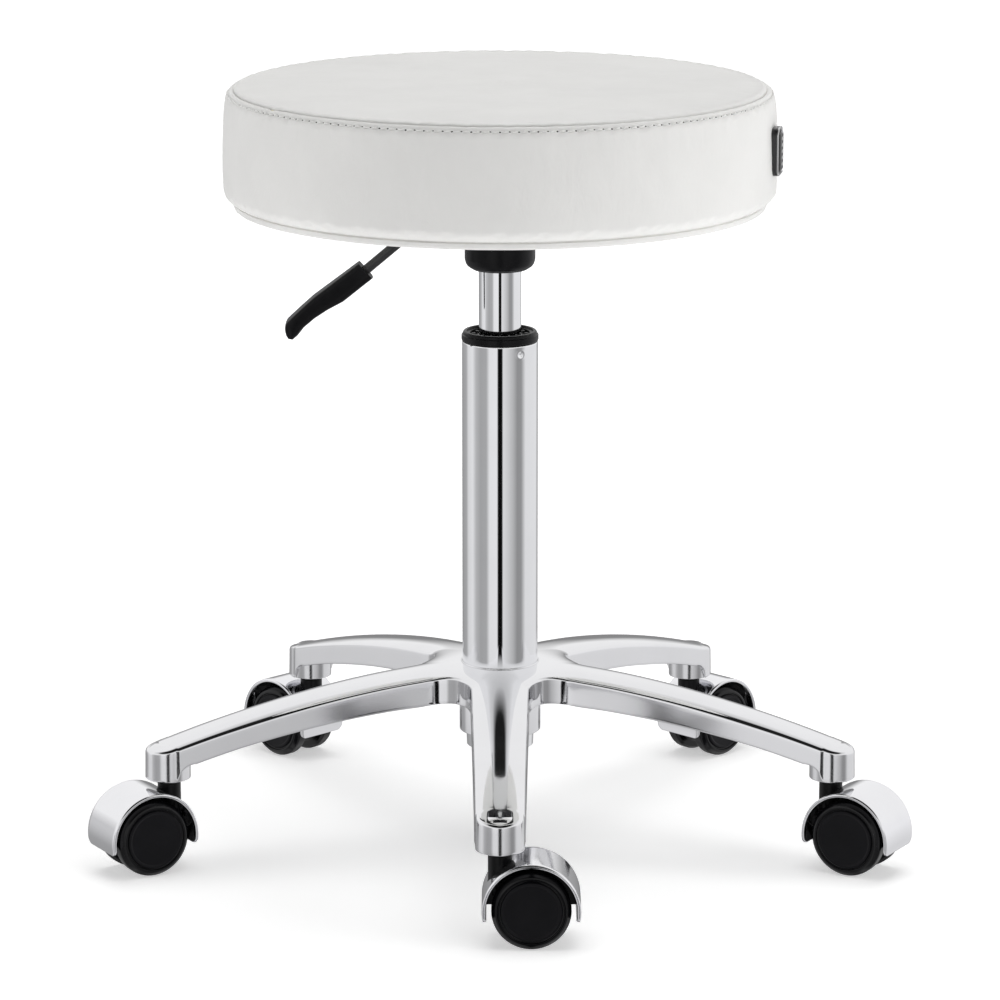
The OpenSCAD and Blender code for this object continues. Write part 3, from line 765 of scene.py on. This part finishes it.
def hood_part():
    """Chrome hood of a caster: a bent strip with a grooved rim, drilled for the neck."""
    half = [(y, HOOD_R) for y in (0, 6, 12, 16.5, 18.2)]
    half += [(18.9, 30.93), (19.5, 30.65), (19.85, 30.25), (19.95, 29.95), (19.62, 29.78), (19.62, 29.66),
             (19.93, 29.5), (19.9, 29.1), (19.6, 28.78)]
    half += [(y, HOOD_IN) for y in (19.0, 16, 8)]
    profile = half + [(0, HOOD_IN)] + [(-y, r) for y, r in reversed(half[1:])]
    low = math.asin((AXLE_Z - 7.4 - HOOD_C[1]) / HOOD_R)
    span = math.pi - 2 * low
    length = span * HOOD_R
    stops = [0, 0.1, 0.3, 0.6, 0.9, 1.4, 2.0, 2.8, 3.8, 5.0, 6.5]
    stops += [6.5 + (length - 13) * i / 72 for i in range(1, 72)] + [length - s for s in reversed(stops)]
    rings = []
    for s in stops:
        a = low + s / HOOD_R
        e = min(s, length - s)
        corner = 5.5 * (1 - math.sqrt(max(1 - ((5.5 - e) / 5.5) ** 2, 0))) if e < 5.5 else 0
        thin = 0.25 + 0.75 * math.sqrt(max(1 - ((0.9 - e) / 0.9) ** 2, 0)) if e < 0.9 else 1.0
        ring = []
        for y, r in profile:
            mid = (HOOD_R + HOOD_IN) / 2
            rr = mid + (r - mid) * thin
            yy = y - corner * (abs(y) / 20) ** 3 * (1 if y > 0 else -1)
            ring.append((HOOD_C[0] + rr * math.cos(a), yy, HOOD_C[1] + rr * math.sin(a)))
        rings.append(ring)
    blank = bpy.data.objects.new("hood_blank", mesh_of("hood_blank", *loft(rings), scale=1.0))
    drill_r = NECK_R + 0.3
    bore = lathe([(0, 20), (drill_r, 20), (drill_r, 70), (0, 70)], 96, closed=False)
    drill = bpy.data.objects.new("hood_drill", mesh_of("hood_drill", *bore, scale=1.0))
    for o in (blank, drill):
        bpy.context.scene.collection.objects.link(o)
    cut = blank.modifiers.new("cut", "BOOLEAN")
    cut.object = drill
    cut.operation = "DIFFERENCE"
    cut.solver = "EXACT"
    bpy.context.view_layer.update()
    done = blank.evaluated_get(bpy.context.evaluated_depsgraph_get()).to_mesh()
    verts = [tuple(v.co) for v in done.vertices]
    faces = [list(p.vertices) for p in done.polygons]
    for o in (blank, drill):
        data = o.data
        bpy.data.objects.remove(o)
        bpy.data.meshes.remove(data)
    return verts, faces


def prism(outline, y0, y1, bevel=0.5):
    """Plate in the XZ plane with bevelled rims."""
    cx = sum(p[0] for p in outline) / len(outline)
    cz = sum(p[1] for p in outline) / len(outline)

    def inset(d):
        out = []
        for x, z in outline:
            length = math.hypot(x - cx, z - cz)
            out.append((x - (x - cx) / length * d, z - (z - cz) / length * d))
        return out

    rings = []
    for y, d in ((y0, bevel), (y0 + bevel * 0.3, bevel * 0.3), (y0 + bevel, 0), (y1 - bevel, 0),
                 (y1 - bevel * 0.3, bevel * 0.3), (y1, bevel)):
        rings.append([(x, y, z) for x, z in inset(d)])
    return loft(rings)


def caster_body():
    arc = []
    for i in range(65):
        a = math.pi * i / 64
        arc.append((HOOD_C[0] + WEB_R * math.cos(a), HOOD_C[1] + WEB_R * math.sin(a)))
    arc += [(HOOD_C[0] - WEB_R + 2 * WEB_R * i / 12, AXLE_Z) for i in range(1, 12)]
    web = prism(arc, -2.5, 2.5)
    boss_turn = Matrix.Translation((TRAIL, 0, AXLE_Z)) @ Matrix.Rotation(math.radians(-90), 4, "X")
    boss = moved(lathe(rounded([(3.0, -6.3, 0), (6, -6.3, 0.5), (6, 6.3, 0.5), (3.0, 6.3, 0)]), 48),
                 boss_turn)
    neck = lathe(rounded([
        (4.06, 36.5, 0), (4.06, 58.3, 0.3), (6.5, 58.3, 1.0), (NECK_R, 57.2, 0.9), (NECK_R, 50, 0),
        (NECK_R, 46, 0), (NECK_R, 42, 0), (NECK_R, 38, 0), (NECK_R, 35, 0), (NECK_R, 32, 0),
        (4.06, 32, 0)]), 96)
    verts = []
    for x, y, z in neck[0]:
        if abs(y) > 6.2 and math.hypot(x - TRAIL, z - AXLE_Z) < WHEEL_R + 0.7:
            y = 6.2 if y > 0 else -6.2
        verts.append((x, y, z))
    return joined(web, boss, (verts, neck[1]))


def wheel_parts():
    """Tyre and side disc of a wheel, lathed about Z with the inner face at z = 0."""
    tyre = lathe(rounded([
        (3.06, 0, 0), (17.5, 0, 0.5), (19.5, 1.2, 0.6), (23.4, 1.2, 0.5), (WHEEL_R, 2.7, 1.3),
        (WHEEL_R, 8.9, 2.6), (22.6, 11.7, 0.9), (21.6, 12.1, 0.35), (20.6, 12.1, 0.35),
        (20.2, 11.2, 0.2), (19.6, 11.1, 0.1), (19.55, 8.0, 0), (3.06, 8.0, 0)], 6), 192)
    disc = lathe(rounded([
        (0, 8.1, 0), (19.5, 8.1, 0), (19.5, 11.3, 0.4), (18.9, 12.15, 0.5), (17.9, 12.3, 0.6),
        (16.9, 11.85, 1.0), (12, 11.75, 0), (6, 11.7, 0), (0, 11.7, 0)], 6), 160, closed=False)
    return tyre, disc


hood = hood_part()
body_part = caster_body()
tyre, disc = wheel_parts()
for k in range(1, 6):
    arm = math.radians(ARM_AZ[k - 1])
    place = (Matrix.Rotation(arm, 4, "Z") @ Matrix.Translation((STEM_CIRCLE_R, 0, 0))
             @ Matrix.Rotation(math.radians(CASTER_AZ[k - 1]) - arm, 4, "Z"))
    name = f"caster_{k}"
    make(name + "_hood_shell", *moved(hood, place), LOOKS["hood_chrome"], name, "hood_chrome",
         (name + "_hood",), sharp=40)
    make(name + "_fork", *moved(body_part, place), LOOKS["black_plastic"], name, "black_plastic",
         (name + "_body",))
    for word, side in (("left", 1), ("right", -1)):
        spin = (Matrix.Translation((TRAIL, side * WHEEL_IN, AXLE_Z))
                @ Matrix.Rotation(math.radians(-90 * side), 4, "X"))
        make(f"{name}_{word}_tyre", *moved(tyre, place @ spin), LOOKS["wheel_nylon"], f"{name}_{word}",
             "wheel_nylon", (f"{name}_{word}_wheel",))
        make(f"{name}_{word}_disc", *moved(disc, place @ spin), DISC, f"{name}_{word}", "wheel_nylon")


# ------------------------------------------------------------------ cushion

CORNER_R = 9.0
LOW_R = 7.6
SIDE_TOP = SEAT_TOP - CORNER_R
SIDE_LOW = SEAM_Z + LOW_R
CREASE_T = 62.0
STITCH_T = 34.0
STITCHES = 188


def side_r(z):
    lean = 0.5 * min(max((z - 455.0) / 35.0, 0.0), 1.0)
    return SEAT_R - 1.2 - lean - 2.2 * (abs(z - SEAM_Z - 27.74) / 43.8) ** 2.4


def skin_profile(step_top=6.0, step_corner=1.0, step_side=3.0):
    """(radius, height, distance) points from the middle of the seat to the bottom seam."""
    top_r = side_r(SIDE_TOP) - CORNER_R
    count = int(top_r / step_top)
    pts = [(top_r * i / count, SEAT_TOP) for i in range(count)]
    n = int(CORNER_R * math.pi / 2 / step_corner)
    for i in range(n + 1):
        t = math.radians(90 - 90 * i / n)
        pts.append((top_r + CORNER_R * math.cos(t), SIDE_TOP + CORNER_R * math.sin(t)))
    n = int((SIDE_TOP - SIDE_LOW) / step_side)
    for i in range(1, n + 1):
        z = SIDE_TOP + (SIDE_LOW - SIDE_TOP) * i / n
        pts.append((side_r(z), z))
    n = max(int(LOW_R * math.radians(80) / step_corner), 3)
    low = side_r(SIDE_LOW) - LOW_R
    for i in range(1, n + 1):
        t = math.radians(80 * i / n)
        pts.append((low + LOW_R * math.cos(t), SIDE_LOW - LOW_R * math.sin(t)))
    out, d = [], 0.0
    for i, (r, z) in enumerate(pts):
        if i:
            d += math.hypot(r - pts[i - 1][0], z - pts[i - 1][1])
        out.append((r, z, d))
    return out


TOP_FLAT = side_r(SIDE_TOP) - CORNER_R
CREASE_D = TOP_FLAT + CORNER_R * math.radians(90 - CREASE_T)
STITCH_D = TOP_FLAT + CORNER_R * math.radians(90 - STITCH_T)
SIM_SEG = 208
CLOTH_SCALE = 0.01   # the cloth is simulated at ten times its size
CLOTH_FRAMES = 20
CLOTH_CAP = 5.0      # the longest move that the cloth may make
CLOTH_EVEN = 0.75    # how much of the even swelling is taken away, as the profile holds the shape


def simulate():
    """Pressure cloth over the whole cushion: distances, and outward and upward moves in millimetres."""
    prof = skin_profile(7.0, 3.5, 5.5)
    dist = np.array([p[2] for p in prof])
    move = np.zeros((len(prof), SIM_SEG, 2))
    outline = [(r, z) for r, z, _ in prof] + [(r, SEAM_Z) for r in (120.0, 60.0, 0.0)]
    verts, faces = lathe(outline, SIM_SEG, closed=False)
    start = []
    for x, y, z in verts:
        wobble = noise.noise(Vector((x, y, z)) * 0.035) * 0.5
        r = math.hypot(x, y)
        f = (r - 1.2 + wobble) / r if r > 1 else 1.0
        start.append((x * f, y * f, z))
    mesh = mesh_of("cloth", start, faces, scale=CLOTH_SCALE)
    cloth = bpy.data.objects.new("cloth", mesh)
    bpy.context.scene.collection.objects.link(cloth)
    pins = cloth.vertex_groups.new(name="pins")
    ease = cloth.vertex_groups.new(name="ease")
    for i, (x, y, z) in enumerate(start):
        r = math.hypot(x, y)
        hold = 0.0
        if z < SEAM_Z + 1.5:
            hold = 1.0
        elif r > TOP_FLAT + 2 and z > SEAT_TOP - 3:
            hold = 0.85
        elif z > SEAT_TOP - 0.5:
            hold = 0.25
        if hold:
            pins.add([i], hold, "REPLACE")
        front = max(0.0, math.cos(math.atan2(y, x) - math.radians(-62)))
        ease.add([i], 0.35 + 0.65 * front ** 2, "REPLACE")
    mod = cloth.modifiers.new("cloth", "CLOTH")
    s = mod.settings
    s.quality = 4
    s.mass = 0.25
    s.tension_stiffness = 140
    s.compression_stiffness = 80
    s.shear_stiffness = 30
    s.bending_stiffness = 0.6
    s.use_pressure = True
    s.uniform_pressure_force = 4.0
    s.vertex_group_mass = "pins"
    s.pin_stiffness = 1.0
    s.shrink_min = 0.0
    s.shrink_max = -0.022
    s.vertex_group_shrink = "ease"
    s.effector_weights.gravity = 0.0
    mod.collision_settings.use_collision = False
    scene = bpy.context.scene
    mod.point_cache.frame_start = 1
    mod.point_cache.frame_end = CLOTH_FRAMES
    for f in range(1, CLOTH_FRAMES + 1):
        scene.frame_set(f)
    done = cloth.evaluated_get(bpy.context.evaluated_depsgraph_get()).to_mesh()
    after = [v.co / CLOTH_SCALE for v in done.vertices]
    scene.frame_set(1)
    for i in range(1, len(prof)):
        for k in range(SIM_SEG):
            j = 1 + (i - 1) * SIM_SEG + k
            a = Vector(start[j])
            b = Vector(after[j])
            d = b - a
            if d.length > CLOTH_CAP:
                d = d.normalized() * CLOTH_CAP
            r = math.hypot(a.x, a.y)
            move[i, k, 0] = (d.x * a.x + d.y * a.y) / r
            move[i, k, 1] = d.z
    bpy.data.objects.remove(cloth)
    bpy.data.meshes.remove(mesh)
    mean = move.mean(axis=1, keepdims=True)
    print("cloth: largest mean", abs(mean).max(), "largest difference", abs(move - mean).max())
    move = move - mean * CLOTH_EVEN
    move[0] = 0.0
    return dist, move


def cubic(values, x):
    """Catmull-Rom samples along the first axis at fractional places x."""
    i = np.clip(np.floor(x).astype(int), 0, len(values) - 1)
    f = (x - i)[:, None, None]
    last = len(values) - 1
    p0, p1 = values[np.clip(i - 1, 0, last)], values[i]
    p2, p3 = values[np.clip(i + 1, 0, last)], values[np.clip(i + 2, 0, last)]
    return p1 + 0.5 * f * (p2 - p0 + f * (2 * p0 - 5 * p1 + 4 * p2 - p3 + f * (3 * (p1 - p2) + p3 - p0)))


SIM_D, SIM_MOVE = simulate()


def field(dists, seg):
    """Moves of the cloth at profile distances and seg turns."""
    rows = np.interp(dists, SIM_D, np.arange(len(SIM_D)))
    along = cubic(SIM_MOVE, rows)
    padded_turns = np.concatenate([along[:, -2:], along, along[:, :3]], axis=1).transpose(1, 0, 2)
    places = 2 + np.arange(seg) * SIM_SEG / seg
    return cubic(padded_turns, places).transpose(1, 0, 2)


def bell(x, width):
    return math.exp(-(x / width) ** 2)


def relief(d, turn):
    """How far the leather stands out of the plain profile, for its seams, stitches and soft creases."""
    past = d - CREASE_D
    out = -1.15 * bell(past, 0.75) + 0.35 * bell(past + 3.2, 2.4) + 0.30 * bell(past - 2.2, 1.6)
    out -= 0.42 * bell(d - STITCH_D, 1.0)
    phase = turn * STITCHES
    if d > CREASE_D:
        out -= 0.16 * bell(d - STITCH_D, 2.2) * (0.5 + 0.5 * math.cos(2 * math.pi * phase))
    below = d - STITCH_D
    if 0 < below < 70:
        a = 2 * math.pi * turn
        pucker = noise.noise(Vector((math.cos(a) * 26, math.sin(a) * 26, below * 0.025)))
        fine = noise.noise(Vector((math.cos(a) * 62, math.sin(a) * 62, below * 0.05 + 9)))
        out += (0.34 * pucker + 0.16 * fine) * math.exp(-below / 26) * min(below / 3, 1)
        rise = max(below - 40, 0) / 24
        low = noise.noise(Vector((math.cos(a) * 15, math.sin(a) * 15, 4 + below * 0.01)))
        out += 0.42 * low * min(rise, 1)
    return out


def skin(points, seg):
    """Displaced rings of leather for (radius, height, distance) points, moved along the profile's normal."""
    rows = []
    moves = field([p[2] for p in points], seg)
    for j, (r, z, d) in enumerate(points):
        a = points[max(j - 1, 0)]
        b = points[min(j + 1, len(points) - 1)]
        t = Vector((b[0] - a[0], b[1] - a[1])).normalized()
        nr, nz = -t.y, t.x
        if j == 0 and r == 0:
            nr, nz = 0.0, 1.0
        dome = 0.9 * max(0.0, 1 - (r / TOP_FLAT) ** 2) if z > SEAT_TOP - 0.01 else 0.0
        row = []
        for k in range(seg):
            turn = k / seg
            h = relief(d, turn)
            rr = r + nr * h + moves[j, k, 0] * (1 if r > 1 else 0)
            zz = z + nz * h + moves[j, k, 1] + dome - 0.35 * (1 if z > SEAT_TOP - 0.01 else 0)
            a = 2 * math.pi * turn
            row.append((rr * math.cos(a), rr * math.sin(a), zz))
        rows.append(row)
    return rows


def grid(rows, pole=False):
    seg = len(rows[0])
    verts, faces, base = [], [], []
    for j, row in enumerate(rows):
        if pole and j == 0:
            base.append([len(verts)] * seg)
            verts.append(row[0])
        else:
            base.append(list(range(len(verts), len(verts) + seg)))
            verts += row
    for a, b in zip(base, base[1:]):
        for k in range(seg):
            n = (k + 1) % seg
            faces.append(list(dict.fromkeys([a[k], a[n], b[n], b[k]])))
    return verts, faces


def cushion():
    fine = skin_profile(5.0, 0.55, 2.6)
    top = [p for p in fine if p[2] < CREASE_D]
    side = [p for p in fine if p[2] >= CREASE_D]
    top_rows = skin(top, 320)
    last = top_rows[-1]

    def tuck(row, inward, down):
        out = []
        for x, y, z in row:
            f = 1 - inward / math.hypot(x, y)
            out.append((x * f, y * f, z - down))
        return out

    top_rows += [tuck(last, 0.1, 0.8), tuck(last, 1.2, 2.0)]
    leather_look = LOOKS["white_leather"]
    piece = make("cushion_top_panel", *grid(top_rows, pole=True), leather_look, "seat", "white_leather",
                 ("top_panel",), sharp=70)
    seg = STITCHES * 4
    side_rows = skin(side, seg)
    side_rows = [tuck(side_rows[0], 1.4, 2.2), tuck(side_rows[0], 0.5, 0.7)] + side_rows
    side_rows += [tuck(side_rows[-1], 0.9, -0.05), tuck(side_rows[-1], 1.2, -2.0)]
    piece = make("cushion_side_panel", *grid(side_rows), leather_look, "seat", "white_leather",
                 ("side_panel",), sharp=70)
    core = []
    for r, z, _ in skin_profile(14, 2, 6):
        core.append((max(r - 1.6, 0.0), min(z, SEAT_TOP - 1.8) - 0.6 if z > 500 else z))
    core += [(BOARD_R - 1, 434.6), (BOARD_R - 1, 441.2), (90.0, 441.2), (0.0, 441.2)]
    piece = make("cushion_foam_core", *lathe(core, 128, closed=False), LOOKS["foam"], "seat", "foam",
                 ("foam_pad",), sharp=60)
    return side


SIDE_POINTS = cushion()


def stitch_row():
    """Thread between the needle holes, and a dark blob at each hole that paints the shade inside it."""
    r, z, _ = min(SIDE_POINTS, key=lambda p: abs(p[2] - STITCH_D))
    moves = field([STITCH_D], STITCHES * 8)[0]
    tilt = math.radians(STITCH_T)
    threads, holes = [], []

    def at(turn, lift, slip=0.0):
        index = int(round(turn * STITCHES * 8)) % (STITCHES * 8)
        a = 2 * math.pi * turn
        rr = r + moves[index, 0] + (lift - 0.42) * math.cos(tilt) - slip * math.sin(tilt)
        zz = z + moves[index, 1] + (lift - 0.42) * math.sin(tilt) + slip * math.cos(tilt)
        return Vector((rr * math.cos(a), rr * math.sin(a), zz))

    for i in range(STITCHES):
        path, radii = [], []
        for j in range(7):
            f = j / 6
            turn = (i + 0.14 + 0.72 * f) / STITCHES
            path.append(tuple(at(turn, -0.35 + 0.95 * math.sin(math.pi * f) ** 0.6, 0.28 * (f - 0.5) * 2)))
            radii.append(0.60 * (0.55 + 0.45 * math.sin(math.pi * f) ** 0.5))
        rings = []
        for j, p in enumerate(path):
            t = (Vector(path[min(j + 1, 6)]) - Vector(path[max(j - 1, 0)])).normalized()
            u = t.cross(Vector((0, 0, 1))).normalized()
            v = t.cross(u)
            rings.append([tuple(Vector(p) + (u * math.cos(a) + v * math.sin(a)) * radii[j])
                          for a in circle(6)])
        threads.append(loft(rings))
        # a dark blob at each needle hole paints the shade inside the hole
        centre = at(i / STITCHES, -0.28)
        out = (at(i / STITCHES, 1.0) - at(i / STITCHES, 0.0)).normalized()
        along = Vector((-math.sin(2 * math.pi * i / STITCHES), math.cos(2 * math.pi * i / STITCHES), 0))
        up = out.cross(along)
        rings = []
        for lift, radius in ((-0.5, 0.45), (0.10, 0.72), (0.26, 0.52), (0.30, 0.14)):
            rings.append([tuple(centre + out * lift
                                + (along * 1.15 * math.cos(a) + up * math.sin(a)) * radius)
                          for a in circle(8)])
        holes.append(loft(rings))
    make("cushion_stitch_thread", *joined(*threads), THREAD, "seat", "white_leather", sharp=60)
    make("cushion_needle_hole_shades", *joined(*holes), HOLE_SHADE, "seat", "white_leather", sharp=60)


stitch_row()


PLEATS = 60


def edge_band():
    """Leather band round the board's edge, pleated where it folds under the board."""
    seg = 480
    rows = []
    profile = rounded([
        (172.5, 434.6, 0), (172.5, 432.2, 0.3), (173.6, 431.8, 0.5), (173.6, 429.6, 1.0),
        (172.9, 428.0, 0.9), (170.5, 427.8, 0),
        (166.0, 427.75, 0), (160.0, 427.7, 0), (154.0, 427.7, 0), (150.4, 427.8, 0), (150.0, 428.9, 0)], 4)
    for r, z in profile:
        row = []
        for k in range(seg):
            a = 2 * math.pi * k / seg
            under = min(max((172.0 - r) / 12.0, 0.0), 1.0)
            saw = (k * PLEATS / seg) % 1.0
            fold = 0.75 * under * (saw if saw < 0.85 else (1 - saw) / 0.15 * 0.85)
            wave = 0.22 * noise.noise(Vector((math.cos(a) * 20, math.sin(a) * 20, z * 0.4))) * (1 - under)
            row.append(((r + wave) * math.cos(a), (r + wave) * math.sin(a), z + (fold if z < 428.5 else 0)))
        rows.append(row)
    make("seat_edge_band", *grid(rows), LOOKS["white_leather"], "seat", "white_leather", ("edge_wrap",),
         sharp=60)


edge_band()


def badge():
    """Plain metal plate with a raised field, held by two rivets."""
    height, width, corner = 31.5, 20.0, 5.5
    turn = (Matrix.Rotation(math.radians(-12), 4, "Z")
            @ Matrix.Translation((SEAT_R - 0.2, 0, SEAM_Z + 35.8))
            @ Matrix.Rotation(math.radians(90), 4, "Y"))

    def outline(inset):
        pts = []
        hx, hy = height / 2 - inset, width / 2 - inset
        c = max(corner - inset, 0.6)
        for qx, qy, start in ((1, 1, 0), (-1, 1, 90), (-1, -1, 180), (1, -1, 270)):
            for i in range(7):
                a = math.radians(start + 15 * i)
                pts.append((qx * (hx - c) + c * math.cos(a), qy * (hy - c) + c * math.sin(a)))
        return pts

    def tier(steps):
        return loft([[(x, y, z) for x, y in outline(inset)] for inset, z in steps])

    # the backing forms the badge's side wall, and its dark enamel colour paints the shade on that wall
    back = tier(((0.25, -2.4), (0.25, 1.2), (0.25, 2.0), (0.3, 2.05)))
    make("badge_shaded_wall", *moved(back, turn), ENAMEL_AND_SHADE, "seat", "badge_metal")
    field = tier(((2.5, 2.3), (2.7, 2.7), (3.4, 3.4), (4.4, 3.8), (6.5, 4.03), (8.5, 4.06)))
    make("badge_dark_field", *moved(field, turn), ENAMEL_AND_SHADE, "seat", "badge_metal", sharp=50)
    plate = tier(((0.0, 2.0), (0.0, 2.3), (0.15, 2.65), (0.6, 2.85), (1.4, 2.85), (1.8, 2.45), (2.2, 2.4),
                  (2.7, 2.5), (3.4, 3.1), (4.4, 3.5), (6.5, 3.75), (8.5, 3.8)))
    make("badge_plate", *moved(plate, turn), LOOKS["badge_metal"], "seat", "badge_metal", ("badge",),
         sharp=50)
    marks = []
    for i in range(5):
        x = (i - 2) * 4.1
        rings = []
        for s, z in ((1.0, 3.6), (1.0, 4.12), (0.85, 4.3), (0.4, 4.36)):
            rings.append([(x + s * 1.25 * math.cos(a), s * 3.4 * math.sin(a), z) for a in circle(16)])
        marks.append(loft(rings))
    make("badge_field_pattern", *moved(joined(*marks), turn), LOOKS["badge_metal"], "seat", "badge_metal")
    rivet = lathe(rounded([(0, -1.0, 0), (0.8, -1.0, 0), (0.8, 2.7, 0), (1.6, 2.7, 0.2), (1.5, 3.6, 0.7),
                           (0.8, 4.3, 0.8), (0, 4.4, 0)]), 32, closed=False)
    parts = [moved(rivet, Matrix.Translation((s * (height / 2 - 2.9), 0, 0))) for s in (-1, 1)]
    make("badge_rivet_pair", *moved(joined(*parts), turn), LOOKS["zinc_steel"], "seat", "zinc_steel",
         ("badge_rivets",))


badge()


# ------------------------------------------------------------------ stage, light and camera

scene = bpy.context.scene
FLOOR = Look("studio_floor", (0.93, 0.93, 0.93), rough=0.8)
FLOOR.tint(FLOOR.noise(3, detail=3), (0.925, 0.925, 0.925), (0.94, 0.94, 0.94))
FLOOR.set("Emission Color", (1, 1, 1, 1))
reach = FLOOR.node("VectorMath", "LENGTH")
FLOOR.link(FLOOR.coord, reach.inputs[0])
FLOOR.link(FLOOR.spread(reach.outputs["Value"], 0.46, 1.0, 0.45, 1.6),
           FLOOR.bsdf.inputs["Emission Strength"])
floor_mesh = bpy.data.meshes.new("studio_floor")
floor_mesh.from_pydata([(-14, -14, 0), (14, -14, 0), (14, 14, 0), (-14, 14, 0)], [], [(0, 1, 2, 3)])
floor_mesh.materials.append(FLOOR.mat)
floor = bpy.data.objects.new("studio_floor", floor_mesh)
floor.visible_glossy = False
scene.collection.objects.link(floor)


# (degrees round the studio, brightness): the panels that the chrome mirrors
PANELS = ((-180, .25), (-150, .42), (-124, .50), (-112, .88), (-92, .98), (-78, .60), (-62, .47),
          (-42, .50), (-32, .98), (-9, 1.02), (-5.6, .004), (6.6, .004), (9, .92), (24, .78), (40, .60),
          (54, .36), (68, .38), (84, .95), (140, .98), (156, .45), (180, .25))
RING = ((0.55, 1.0), (0.80, .70), (0.90, .015))   # (height and nearness to the camera, brightness)


def grey_ramp(tree, stops, blue=1.0):
    """A ramp of (place, brightness) stops, grey or tinted blue."""
    ramp = add_node(tree, "ValToRGB")
    elements = ramp.color_ramp.elements
    while len(elements) < len(stops):
        elements.new(0.5)
    for element, (place, value) in zip(elements, stops):
        element.position = place
        element.color = (value, value, value * blue, 1)
    return ramp


def studio_world():
    """A ring of white and grey studio panels by direction, under a dark ceiling."""
    world = bpy.data.worlds.new("studio")
    scene.world = world
    world.use_nodes = True
    tree = world.node_tree
    link = tree.links.new
    back = tree.nodes["Background"]
    split = add_node(tree, "SeparateXYZ")
    link(add_node(tree, "TexCoord").outputs["Generated"], split.inputs[0])
    minus = add_node(tree, "Math", "MULTIPLY")
    minus.inputs[1].default_value = -1.0
    link(split.outputs["Y"], minus.inputs[0])
    angle = add_node(tree, "Math", "ARCTAN2")
    link(split.outputs["X"], angle.inputs[0])
    link(minus.outputs[0], angle.inputs[1])
    place = add_node(tree, "MapRange", From_Min=-math.pi, From_Max=math.pi)
    link(angle.outputs[0], place.inputs["Value"])
    panels = grey_ramp(tree, [((azimuth + 180) / 360, value) for azimuth, value in PANELS], 1.01)
    link(place.outputs["Result"], panels.inputs["Fac"])
    # above the panels a bright ring, then a dark ceiling that reaches lower on the camera's side
    high = add_node(tree, "MapRange", From_Min=0.05, From_Max=0.25)
    link(split.outputs["Z"], high.inputs["Value"])
    ring = grey_ramp(tree, RING)
    forward = add_node(tree, "Math", "MULTIPLY_ADD")
    forward.inputs[1].default_value = 0.42
    link(minus.outputs[0], forward.inputs[0])
    link(split.outputs["Z"], forward.inputs[2])
    link(forward.outputs[0], ring.inputs["Fac"])
    ceiling = add_node(tree, "Mix")
    ceiling.data_type = "RGBA"
    link(ring.outputs["Color"], ceiling.inputs["B"])
    link(high.outputs["Result"], ceiling.inputs["Factor"])
    link(panels.outputs["Color"], ceiling.inputs["A"])
    # the camera and diffuse light see an even white, and diffuse light a dim one
    rays = add_node(tree, "LightPath")
    plain = add_node(tree, "Mix")
    plain.data_type = "RGBA"
    plain.inputs["B"].default_value = (1.05, 1.05, 1.05, 1)
    even = add_node(tree, "Math", "MAXIMUM")
    link(rays.outputs["Is Camera Ray"], even.inputs[0])
    link(rays.outputs["Is Diffuse Ray"], even.inputs[1])
    link(even.outputs[0], plain.inputs["Factor"])
    link(ceiling.outputs["Result"], plain.inputs["A"])
    link(plain.outputs["Result"], back.inputs["Color"])
    dim = add_node(tree, "MapRange", To_Min=1.0, To_Max=0.08)
    link(rays.outputs["Is Diffuse Ray"], dim.inputs["Value"])
    below = add_node(tree, "MapRange", From_Min=-0.35, From_Max=-0.02, To_Min=0.78, To_Max=1.0)
    link(split.outputs["Z"], below.inputs["Value"])
    power = add_node(tree, "Math", "MULTIPLY")
    link(dim.outputs["Result"], power.inputs[0])
    link(below.outputs["Result"], power.inputs[1])
    link(power.outputs[0], back.inputs["Strength"])


studio_world()


def panel(name, place, aim, size, power):
    """Soft area light that chrome doesn't mirror."""
    data = bpy.data.lights.new(name, "AREA")
    data.shape = "RECTANGLE"
    data.size, data.size_y = size
    data.energy = power
    lamp = bpy.data.objects.new(name, data)
    lamp.location = place
    lamp.rotation_euler = (Vector(aim) - Vector(place)).to_track_quat("-Z", "Y").to_euler()
    lamp.visible_glossy = False
    scene.collection.objects.link(lamp)


panel("soft_right", (2.4, -0.9, 0.9), (0, 0, 0.4), (1.6, 1.6), 21)
panel("soft_left", (-2.4, -0.5, 1.0), (0, 0, 0.4), (1.4, 1.6), 12)
panel("soft_top", (0.1, 0.2, 2.6), (0, 0, 0.4), (2.2, 2.2), 40)

camera_data = bpy.data.cameras.new("camera")
camera_data.lens = 163.9
camera_data.sensor_width = 36.0
camera = bpy.data.objects.new("camera", camera_data)
camera.location = (0.0, -2.9346, 0.9145)
camera.rotation_euler = (math.radians(76.87), 0.0, 0.0)
scene.collection.objects.link(camera)
scene.camera = camera
scene.view_settings.view_transform = "Standard"
